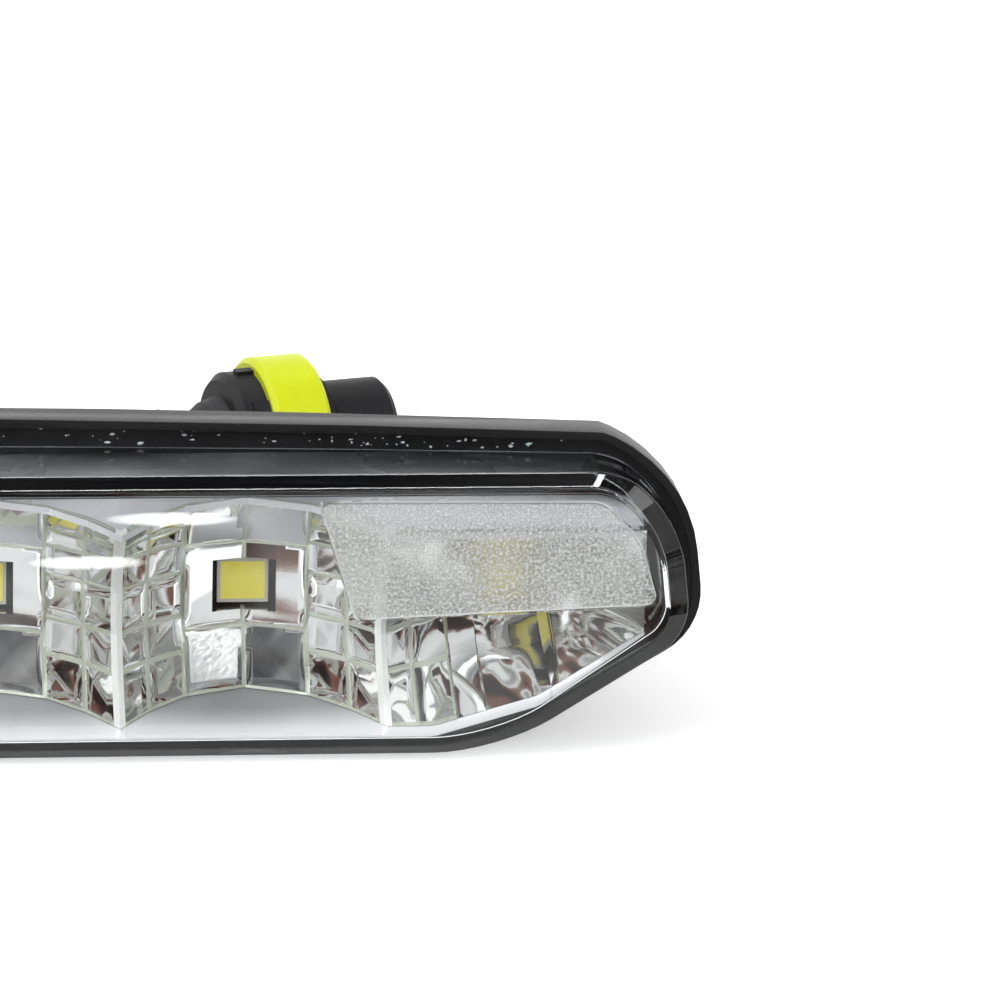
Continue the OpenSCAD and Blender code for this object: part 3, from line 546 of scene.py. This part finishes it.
# Share of the foot's drop: all of it low down, none from the widest point up
def footShare(z):
    return max(0, min(1, (coverFoot + cover["widest"] - z / mm) / cover["footFade"]))


# The rear rim bows back towards the middle of the lamp
def bowDepth(x):
    return windowY + (cover["seat"] - (x / mm) ** 2 / (2 * cover["bowRadius"])) * mm


def madeVerts(result):
    return [g for g in result["geom"] if isinstance(g, bmesh.types.BMVert)]


# Rim on the bowed seat, the hollow pushed forward from it, then the outer wall and the bevelled window
def addClearCover():
    bm = bmesh.new()
    floorFace = outlineFace(bm, windowY, outlineCorners())
    bmesh.ops.inset_region(bm, faces=[floorFace], thickness=cover["wall"] * mm, use_boundary=True,
                           use_even_offset=True)
    hollow = madeVerts(bmesh.ops.extrude_face_region(bm, geom=[floorFace]))
    bmesh.ops.delete(bm, geom=[floorFace], context="FACES_ONLY")
    for vert in bm.verts:
        vert.co.y = bowDepth(vert.co.x)
    for vert in hollow:
        vert.co.y = windowY + cover["window"] * mm
        vert.co.z -= cover["footDrop"] * footShare(vert.co.z) * mm
    window = outlineFace(bm, windowY + cover["bevelDepth"] * mm, outlineCorners())
    for vert in madeVerts(bmesh.ops.extrude_edge_only(bm, edges=window.edges[:])):
        vert.co.y = bowDepth(vert.co.x)
    bmesh.ops.inset_region(bm, faces=[window], thickness=cover["bevelDepth"] * mm, use_even_offset=True)
    stretch = (halfLength - cover["bevelEnd"]) / (halfLength - cover["bevelDepth"])
    for vert in window.verts:
        vert.co = (vert.co.x * stretch, windowY, vert.co.z)
    bmesh.ops.remove_doubles(bm, verts=bm.verts[:], dist=cover["weld"] * mm)
    bmesh.ops.recalc_face_normals(bm, faces=bm.faces[:])
    if bm.calc_volume(signed=True) < 0:
        bmesh.ops.reverse_faces(bm, faces=bm.faces[:])
    piece = finishPiece("clearCover", bm, "clearPolycarbonate", "clear_lens", "front_lens")
    keepCrisp(piece, cover["edge"] * mm, cover["edgeSegments"], cover["edgeAngle"])
    bakeModifiers(piece)


# Thin haze layer just under the etched part of the window
def addFrostHaze():
    bm = bmesh.new()
    face = outlineFace(bm, windowY + frostPatch["depth"] * mm, frostPatch["corners"])
    back = madeVerts(bmesh.ops.extrude_face_region(bm, geom=[face], use_keep_orig=True))
    bmesh.ops.translate(bm, verts=back, vec=(0, frostPatch["thick"] * mm, 0))
    bmesh.ops.recalc_face_normals(bm, faces=bm.faces[:])
    finishPiece("etchedField", bm, "frostHaze", "clear_lens")


addClearCover()
addFrostHaze()
print("clear cover made")


# Faceted reflector: a grid drawn back into a row of bowls, with pillowed facets between fine raised ribs
reflector = {"height": 14.7, "foot": 3.1, "bowl": 14.2, "ridge": 8.4, "rim": 11.6, "tip": 2.3, "shell": 1.2,
             "openingWidth": 4.7, "openingHeight": 4.0, "endGap": 3.4, "gap": 1.9, "topGap": 1.2,
             "footBlend": (4.1, 3.4, 2.2), "pillowRadius": 34.0, "pillowLeast": 0.8, "pillowVary": 0.5,
             "facetTilt": 0.10, "ribHalf": 0.17, "ridgeHalf": 0.42, "ribHeight": 0.09, "steps": 4,
             "sharp": 60}
upperCove = {"back": 13.4, "rise": 2.1, "steps": 8, "thick": 0.5}
lowerLand = {"back": 1.95, "rise": 0, "steps": 1, "thick": 0.16, "fall": 0.55}
landDrop = 0.05         # how far a land starts behind and below the sheet
nearLimit = 0.02        # how near a point lies that counts as on a limit
ledBoxes = [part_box(n) for n in sorted(n for n in nodes if n.startswith("led_") and n != "led_board")]
ledPlaces = [(low.x + high.x) / 2 / mm for low, high in ledBoxes]
halfPitch = (ledPlaces[1] - ledPlaces[0]) / 2
halfHeight = reflector["height"] / 2
ledHeight = (ledBoxes[0][0].z + ledBoxes[0][1].z) / 2 / mm

# Lines between the facets, as shares of a bowl's half width and half height
openU = reflector["openingWidth"] / (halfPitch * 2)
openV = reflector["openingHeight"] / reflector["height"]
middleEdge = 0.47
sideRows = (-1.0, -0.61, -openV, 0.165, 0.51, 0.72, 1.0)
middleRows = (-1.0, -0.42, 0.45, 1.0)
facetColumns = (-1.0, -0.76, -middleEdge, 0.0, middleEdge, 0.76, 1.0)
gridColumns = tuple(sorted(facetColumns + (-openU, openU)))
gridRows = tuple(sorted(set(sideRows + middleRows + (openV,))))


def lineBetween(p, q, x):
    return p[1] + (q[1] - p[1]) * (x - p[0]) / (q[0] - p[0])


# Lowest and highest point of the reflector at a place along the lamp
def reflectorLimits(x):
    x = abs(x)
    gap, foot = reflector["gap"], reflector["foot"]
    slant, wide, shoulder, top = outlineCorners()[:4]
    lean = math.hypot(wide[0] - slant[0], wide[1] - slant[1]) / (wide[1] - slant[1]) * gap
    low = lineBetween((slant[0] - lean, slant[1]), (wide[0] - lean, wide[1]), x)
    corner = slant[0] - lean + (foot - slant[1]) * (wide[0] - slant[0]) / (wide[1] - slant[1])
    before, after, rise = reflector["footBlend"]
    blend = lineBetween((corner - before, foot), (corner + after, foot + rise), x)
    high = lineBetween((top[0] - gap * reflector["topGap"], top[1]), (shoulder[0] - gap, shoulder[1]), x)
    return max(foot, low, blend), min(foot + reflector["height"], high)


def bowlDepth(u, v, side, rim):
    bowl, tip = reflector["bowl"], reflector["tip"]
    return bowl - (bowl - side) * u * u - (bowl - rim) * v * v - (side + rim - bowl - tip) * u * u * v * v


def cellOf(value, breaks):
    for low, high in zip(breaks, breaks[1:]):
        if value <= high + tiny:
            return low, high
    return breaks[-2], breaks[-1]


# Lines round the facet at a place: the facets in the middle of a bowl are taller
def facetAt(u, v):
    u0, u1 = cellOf(u, facetColumns)
    isMiddle = max(abs(u0), abs(u1)) <= middleEdge
    return u0, u1, *cellOf(v, middleRows if isMiddle else sideRows)


def isEnd(i):
    return i in (0, len(ledPlaces) - 1)


# Whether a place lies in the smooth part of an end cup: its outer half and the middle of its bowl
def isSmooth(i, u, outer):
    return isEnd(i) and (outer or abs(u) < middleEdge)


# Half width of the rib on a line between columns: wider along the ridges between two bowls
def ribReach(line):
    return reflector["ridgeHalf"] if abs(line) == 1 else reflector["ribHalf"]


# Depth behind the window: facets hollowed like shallow dishes, with a fine rib along each line between them
def facetDepth(u, v, side, rim):
    u0, u1, v0, v1 = facetAt(u, v)
    s, t = (u - u0) / (u1 - u0), (v - v0) / (v1 - v0)
    corners = [bowlDepth(a, b, side, rim) for b in (v0, v1) for a in (u0, u1)]
    flat = (corners[0] * (1 - s) + corners[1] * s) * (1 - t) + (corners[2] * (1 - s) + corners[3] * s) * t
    width, height = (u1 - u0) * halfPitch, (v1 - v0) * halfHeight
    left, right, edge = ribReach(u0), ribReach(u1), reflector["ribHalf"]
    toLine = min(s * width / left, (1 - s) * width / right, min(t, 1 - t) * height / edge)
    if toLine < 1 - tiny:
        return flat - reflector["ribHeight"] * math.cos(math.pi / 2 * toLine) ** 2
    halfWide, halfHigh = (width - left - right) / 2, height / 2 - edge
    across = max(-1, min(1, (s * width - left - halfWide) / halfWide))
    along = max(-1, min(1, (t * height - edge - halfHigh) / halfHigh))
    chance = random.Random(f"{u0:.2f} {v0:.2f}")
    share = reflector["pillowLeast"] + reflector["pillowVary"] * chance.random()
    radius = reflector["pillowRadius"] * share
    lean = reflector["facetTilt"]
    tilt = (lean * (chance.random() - 0.5) * across * halfWide
            + lean * (chance.random() - 0.5) * along * halfHigh)
    return flat + tilt + ((1 - across ** 2) * halfWide ** 2 + (1 - along ** 2) * halfHigh ** 2) / (2 * radius)


# Finish of a face of the grid: 0 for a facet, 1 for the rib along a ridge, 2 for the other ribs
def ribKind(i, u, v, outer):
    u0, u1, v0, v1 = facetAt(u, v)
    if 1 - abs(u) < reflector["ridgeHalf"] / halfPitch and not outer:
        return 1
    if isSmooth(i, u, outer):
        return 0
    across = min(abs(u - u0), abs(u - u1)) * halfPitch
    along = min(v - v0, v1 - v) * halfHeight
    return 2 if min(across, along) < reflector["ribHalf"] else 0


# Places between the lines, with close ones beside each line for its rib
def spread(breaks, shares):
    places, steps = [], reflector["steps"]
    for i in range(len(breaks) - 1):
        low, high = breaks[i], breaks[i + 1]
        before, after = (min(share, (high - low) / 3) for share in (shares[i], shares[i + 1]))
        places += [low, low + before / 2]
        places += [low + before + (high - low - before - after) * k / steps for k in range(steps + 1)]
        places.append(high - after / 2)
    return places + [breaks[-1]]


def gridPoint(column, v):
    i, u, x, outer = column
    low, high = reflectorLimits(x)
    room = ledHeight - low if v < 0 else high - ledHeight
    lift = abs(v) * room
    if abs(x - ledPlaces[i]) <= reflector["openingWidth"] / 2 + tiny:
        half = reflector["openingHeight"] / 2
        over = half + (abs(v) - openV) / (1 - openV) * (room - half)
        lift = abs(v) * halfHeight if abs(v) <= openV else over
    side = reflector["tip"] if outer else reflector["ridge"]
    rim = reflector["tip"] if isEnd(i) else reflector["rim"]
    depth = (bowlDepth if isSmooth(i, u, outer) else facetDepth)(u, v, side, rim)
    return Vector((x * mm, windowY + depth * mm, (ledHeight + math.copysign(lift, v)) * mm))


# Columns of the grid: the bowl, the place in it, the place along the lamp, and whether that lies in the outer
# half of an end cup
def gridColumnList():
    last = len(ledPlaces) - 1
    endReach = halfLength - reflector["endGap"] - ledPlaces[-1]
    columns = []
    for i, centre in enumerate(ledPlaces):
        places = spread(gridColumns, [ribReach(u) / halfPitch for u in gridColumns])
        for u in places if i == last else places[:-1]:
            outer = (i == 0 and u < 0) or (i == last and u > 0)
            x = centre + u * (endReach if outer and abs(u) > openU else halfPitch)
            columns.append((i, (x - centre) / endReach if outer else u, x, outer))
    return columns


def isAtOpening(point):
    return (any(abs(point.x / mm - x) < reflector["openingWidth"] / 2 for x in ledPlaces)
            and abs(point.z / mm - ledHeight) < reflector["openingHeight"] / 2)


# Edges of the open sheet along its upper (1) or its lower (0) limit
def limitEdges(bm, upper):
    return [e for e in bm.edges if e.is_boundary and abs(e.verts[0].co.x - e.verts[1].co.x) > 0.001 * mm
            and all(abs(v.co.z / mm - reflectorLimits(v.co.x / mm)[upper]) < nearLimit for v in e.verts)]


# Land drawn from the sheet's limit through steps of depth and rise, and given a thickness below it
def makeLand(sheet, upper, land):
    bm = sheet.copy()
    oldFaces = bm.faces[:]
    copied = bmesh.ops.duplicate(bm, geom=limitEdges(bm, upper))["geom"]
    strip = [g for g in copied if isinstance(g, bmesh.types.BMEdge)]
    drop = landDrop * mm
    bmesh.ops.translate(bm, verts=list({v for e in strip for v in e.verts}), vec=(0, drop, -drop))
    faces, steps = [], land["steps"]
    for step in range(steps):
        made = bmesh.ops.extrude_edge_only(bm, edges=strip)["geom"]
        moved = {g for g in made if isinstance(g, bmesh.types.BMVert)}
        lift = math.cos(math.pi / 2 * step / steps) - math.cos(math.pi / 2 * (step + 1) / steps)
        for vert in moved:
            vert.co.y += (windowY + land["back"] * mm - vert.co.y) / (steps - step)
            vert.co.z += lift * land["rise"] * mm
        faces += [g for g in made if isinstance(g, bmesh.types.BMFace)]
        strip = [g for g in made if isinstance(g, bmesh.types.BMEdge) and moved.issuperset(g.verts)]
    under = madeVerts(bmesh.ops.extrude_face_region(bm, geom=faces, use_keep_orig=True))
    bmesh.ops.translate(bm, verts=under, vec=(0, 0, -land["thick"] * mm))
    bmesh.ops.delete(bm, geom=oldFaces, context="FACES")
    for face in bm.faces:
        face.material_index = 0
    return bm


def finishSheet(name, bm, finish):
    bmesh.ops.recalc_face_normals(bm, faces=bm.faces[:])
    for face in bm.faces:
        face.smooth = True
    for edge in bm.edges:
        edge.smooth = not (edge.is_manifold and edge.calc_face_angle(0) > math.radians(reflector["sharp"]))
    return finishPiece(name, bm, finish, "reflector_chrome", "reflector")


# The open sheet of all bowls, with a finish for each face and an opening at each LED
def makeSheet():
    columns = gridColumnList()
    rows = spread(gridRows, [reflector["ribHalf"] / halfHeight] * len(gridRows))
    lastColumn, lastRow = len(columns) - 1, len(rows) - 1
    bm = bmesh.new()
    bmesh.ops.create_grid(bm, x_segments=lastColumn, y_segments=lastRow, size=0.5)
    for face in bm.faces:
        middle = face.calc_center_median()
        before, below = int((middle.x + 0.5) * lastColumn), int((middle.y + 0.5) * lastRow)
        (i, u, _, outer), (_, nextU, _, _) = columns[before], columns[before + 1]
        u = (u + nextU) / 2 if nextU > u else (u + 1) / 2
        face.material_index = ribKind(i, u, (rows[below] + rows[below + 1]) / 2, outer)
    for vert in bm.verts:
        column, row = round((vert.co.x + 0.5) * lastColumn), round((vert.co.y + 0.5) * lastRow)
        vert.co = gridPoint(columns[column], rows[row])
    openings = [f for f in bm.faces if isAtOpening(f.calc_center_median())]
    bmesh.ops.delete(bm, geom=openings, context="FACES")
    return bm


def addReflector():
    bm = makeSheet()
    land, cove = makeLand(bm, 0, lowerLand), makeLand(bm, 1, upperCove)
    shell = madeVerts(bmesh.ops.extrude_face_region(bm, geom=bm.faces[:], use_keep_orig=True))
    bmesh.ops.translate(bm, verts=shell, vec=(0, reflector["shell"] * mm, 0))
    piece = finishSheet("facetReflector", bm, "chromeMirror")
    piece.data.materials.append(looks["satinRidge"])
    piece.data.materials.append(looks["satinRib"])
    finishSheet("upperCove", cove, "satinCove")
    for vert in land.verts:
        if vert.co.y < windowY + (lowerLand["back"] + nearLimit) * mm:
            vert.co.z -= lowerLand["fall"] * footShare(vert.co.z) * mm
    finishSheet("lowerLand", land, "satinLand")


addReflector()
print("reflector made")


# Housing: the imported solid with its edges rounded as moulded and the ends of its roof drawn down
housing = {"weld": 0.002, "flat": 1, "edge": 0.35, "segments": 3, "angle": 40, "cornerStart": 70.0,
           "cornerFoot": 15.0, "cornerDepth": 9, "cornerFall": 0.3}


def addHousing():
    bm = bmesh.new()
    bm.from_mesh(nodes["rear_housing"].data)
    bmesh.ops.remove_doubles(bm, verts=bm.verts[:], dist=housing["weld"] * mm)
    foot, front = housing["cornerFoot"] * mm, windowY + housing["cornerDepth"] * mm
    for vert in bm.verts:
        beyond = abs(vert.co.x) / mm - housing["cornerStart"]
        if beyond > 0 and vert.co.z > foot and vert.co.y > front:
            vert.co.z -= beyond * housing["cornerFall"] * mm
    flat = math.radians(housing["flat"])
    bmesh.ops.dissolve_limit(bm, angle_limit=flat, verts=bm.verts[:], edges=bm.edges[:])
    piece = finishPiece("lampHousing", bm, "housingPlastic", "housing_plastic", "rear_housing")
    keepCrisp(piece, housing["edge"] * mm, housing["segments"], housing["angle"])
    bakeModifiers(piece)


# Crumbs of cured glue in the upper groove, in loose clusters
crumbs = {"seed": 7, "count": 150, "span": 71.0, "scatter": 3.5, "low": 22.75, "high": 23.95, "depth": 9.16,
          "size": (0.05, 0.17), "stretch": (0.7, 2.2), "flatness": 0.6, "rise": (0.6, 1.2), "least": 0.7,
          "bulge": 0.6, "bulgeScale": 9000, "clusters": (-52, -31, -12, 8, 24, 41, 55, 66)}


def addCrumbs():
    chance = random.Random(crumbs["seed"])
    bm = bmesh.new()
    for i in range(crumbs["count"]):
        x = chance.gauss(chance.choice(crumbs["clusters"]), crumbs["scatter"])
        x = max(-crumbs["span"], min(crumbs["span"], x))
        size = chance.uniform(*crumbs["size"])
        place = Vector((x * mm, windowY + (crumbs["depth"] - x * x / (2 * cover["bowRadius"])) * mm,
                        chance.uniform(crumbs["low"], crumbs["high"]) * mm))
        stretch = (chance.uniform(*crumbs["stretch"]), crumbs["flatness"], chance.uniform(*crumbs["rise"]))
        grain = bmesh.ops.create_icosphere(bm, subdivisions=1, radius=size * mm)["verts"]
        for vert in grain:
            lump = noise.noise(vert.co * crumbs["bulgeScale"] + Vector((i, 0, 0)))
            bulge = crumbs["least"] + crumbs["bulge"] * lump
            vert.co = place + Vector(a * b * bulge for a, b in zip(vert.co, stretch))
    finishPiece("glueCrumbs", bm, "glueCrumbs", "sealant")


addHousing()
addCrumbs()
print("housing made")


# Studio: pale floor, white surroundings, soft lamps and the cards that the mirrors and the cover reflect
studio = {"floor": (0.86, 0.86, 0.86), "floorRough": 0.7, "floorSize": (6, 6), "floorDrop": 0.05,
          "glow": 0.45, "world": 0.55, "seen": 1.0, "lampAim": (0.05, 0, 0.01)}
lamps = {
    "keyLamp": {"place": (-0.35, -0.35, 0.75), "size": (0.5, 0.5), "power": 5.0},
    "fillLamp": {"place": (0.6, -0.5, 0.5), "size": (0.5, 0.5), "power": 2.2}}
cards = {
    "ceilingCard": {"centre": (0, -0.15, 0.5), "size": (1.6, 1.3), "turn": 0, "pattern": "dim", "scale": 4.5},
    "roomCard": {"centre": (0, -0.95, 0.4), "size": (2.6, 1.3), "turn": 90, "pattern": "room", "scale": 4.5},
    "tableCard": {"centre": (0.02, -0.165, 0.0002), "size": (0.9, 0.27), "turn": 0, "pattern": "table",
                  "scale": 30.0},
    "longGlare": {"centre": (0.0464, -0.0827, 0.0006), "size": (0.0112, 0.0042), "turn": 0, "strength": 26.0,
                  "soft": True},
    "shortGlare": {"centre": (0.039, -0.0711, 0.0006), "size": (0.0098, 0.0040), "turn": 0, "strength": 26.0,
                   "soft": True},
    "frontStrip": {"centre": (-0.25, -0.25, 0.48), "size": (1.0, 0.14), "turn": 0, "strength": 26.0},
    "rearStrip": {"centre": (-0.4, 0.2, 0.49), "size": (1.1, 0.3), "turn": 0, "strength": 9.0},
    "backCard": {"centre": (0, 1.2, 0.35), "size": (3.0, 0.7), "turn": 90, "strength": 1.7}}
cardStops = {
    "dim": ((0.0, (0.02, 0.02, 0.022)), (0.45, (0.06, 0.06, 0.065)), (0.55, (0.4, 0.4, 0.4)),
            (0.62, (0.1, 0.1, 0.1))),
    "room": ((0.0, (0.01, 0.01, 0.012)), (0.42, (0.03, 0.02, 0.02)), (0.45, (0.22, 0.09, 0.07)),
             (0.50, (0.24, 0.12, 0.09)), (0.52, (1.1, 1.1, 1.1)), (0.60, (0.25, 0.25, 0.25)),
             (0.66, (1.0, 1.0, 1.0))),
    "table": ((0.0, (0.02, 0.02, 0.02)), (0.44, (0.05, 0.03, 0.03)), (0.47, (0.25, 0.12, 0.09)),
              (0.50, (0.9, 0.9, 0.9)), (0.58, (0.95, 0.95, 0.95)), (0.66, (0.2, 0.2, 0.2)))}


# One light for what is seen and reflected, and a weaker one for what lights the scene
def addWorld():
    world = bpy.data.worlds.new("studio")
    scene.world = world
    world.use_nodes = True
    tree = world.node_tree
    lit = tree.nodes["Background"]
    setInputs(lit, {"Color": (1, 1, 1, 1), "Strength": studio["world"]})
    white = addNode(tree, "ShaderNodeBackground")
    white.inputs["Strength"].default_value = studio["seen"]
    path = addNode(tree, "ShaderNodeLightPath")
    seen = mathNode(tree, "MAXIMUM", path.outputs["Is Camera Ray"], path.outputs["Is Glossy Ray"])
    seen = mathNode(tree, "MAXIMUM", seen, path.outputs["Is Transmission Ray"])
    mix = addNode(tree, "ShaderNodeMixShader")
    tree.links.new(seen, mix.inputs["Fac"])
    tree.links.new(lit.outputs["Background"], mix.inputs[1])
    tree.links.new(white.outputs["Background"], mix.inputs[2])
    tree.links.new(mix.outputs["Shader"], tree.nodes["World Output"].inputs["Surface"])


def addSheet(name, size, material):
    bm = bmesh.new()
    bmesh.ops.create_grid(bm, x_segments=1, y_segments=1, size=0.5)
    bmesh.ops.scale(bm, verts=bm.verts[:], vec=(size[0], size[1], 1))
    mesh = bpy.data.meshes.new(name)
    bm.to_mesh(mesh)
    bm.free()
    mesh.materials.append(material)
    sheet = bpy.data.objects.new(name, mesh)
    scene.collection.objects.link(sheet)
    return sheet


# The floor glows a little where it is seen, so that it stays white away from the lamps
def addFloor():
    material, tree, shader = startMaterial("paleFloor")
    setInputs(shader, {"Base Color": (*studio["floor"], 1), "Roughness": studio["floorRough"]})
    glow = addNode(tree, "ShaderNodeEmission")
    path = addNode(tree, "ShaderNodeLightPath")
    seen = mathNode(tree, "MAXIMUM", path.outputs["Is Camera Ray"], path.outputs["Is Transmission Ray"])
    tree.links.new(mathNode(tree, "MULTIPLY", seen, studio["glow"]), glow.inputs["Strength"])
    both = addNode(tree, "ShaderNodeAddShader")
    tree.links.new(shader.outputs["BSDF"], both.inputs[0])
    tree.links.new(glow.outputs["Emission"], both.inputs[1])
    tree.links.new(both.outputs["Shader"], tree.nodes["Material Output"].inputs["Surface"])
    floor = addSheet("floor", studio["floorSize"], material)
    floor.location.z = cadBox[0][2] - studio["floorDrop"] * mm


# Brightness that fades from the middle of a card to nothing at an oval round it
def softSpot(tree, size, strength):
    split = addNode(tree, "ShaderNodeSeparateXYZ")
    tree.links.new(objectPlace(tree), split.inputs[0])
    x = mathNode(tree, "MULTIPLY", split.outputs["X"], 2 / size[0])
    y = mathNode(tree, "MULTIPLY", split.outputs["Y"], 2 / size[1])
    radius = mathNode(tree, "MULTIPLY_ADD", x, x, mathNode(tree, "MULTIPLY", y, y))
    return mathNode(tree, "MULTIPLY", mathNode(tree, "SUBTRACT", 1.0, radius, clamp=True), strength)


# Blurred patches of a room in the colours of the card's stops
def patternColour(tree, card):
    ramp = addNode(tree, "ShaderNodeValToRGB")
    elements, stops = ramp.color_ramp.elements, cardStops[card["pattern"]]
    while len(elements) < len(stops):
        elements.new(0.5)
    for element, (position, colour) in zip(elements, stops):
        element.position = position
        element.color = (*colour, 1)
    tree.links.new(noiseNode(tree, objectPlace(tree), card["scale"], 1.0), ramp.inputs["Fac"])
    return ramp.outputs["Color"]


# A card that only reflections see; one with a pattern is also seen through the clear cover
def addCard(name, card):
    material, tree, _ = startMaterial(name)
    material.cycles.emission_sampling = "NONE"        # it is no lamp, so no light is drawn from it
    glow = addNode(tree, "ShaderNodeEmission")
    glow.inputs["Strength"].default_value = card.get("strength", 1.0)
    if "pattern" in card:
        tree.links.new(patternColour(tree, card), glow.inputs["Color"])
    if "soft" in card:
        tree.links.new(softSpot(tree, card["size"], card["strength"]), glow.inputs["Strength"])
    tree.links.new(glow.outputs["Emission"], tree.nodes["Material Output"].inputs["Surface"])
    sheet = addSheet(name, card["size"], material)
    sheet.location = card["centre"]
    sheet.rotation_euler = (math.radians(card["turn"]), 0, 0)
    sheet.visible_camera = sheet.visible_diffuse = sheet.visible_shadow = False
    sheet.visible_transmission = "pattern" in card


def addLamp(name, lamp):
    data = bpy.data.lights.new(name, "AREA")
    data.shape = "RECTANGLE"
    data.size, data.size_y = lamp["size"]
    data.energy = lamp["power"]
    piece = bpy.data.objects.new(name, data)
    piece.location = lamp["place"]
    aim = Vector(studio["lampAim"]) - Vector(lamp["place"])
    piece.rotation_euler = aim.to_track_quat("-Z", "Y").to_euler()
    scene.collection.objects.link(piece)


addWorld()
addFloor()
for name, card in cards.items():
    addCard(name, card)
for name, lamp in lamps.items():
    addLamp(name, lamp)
scene.view_settings.view_transform = "Standard"
print("studio made")
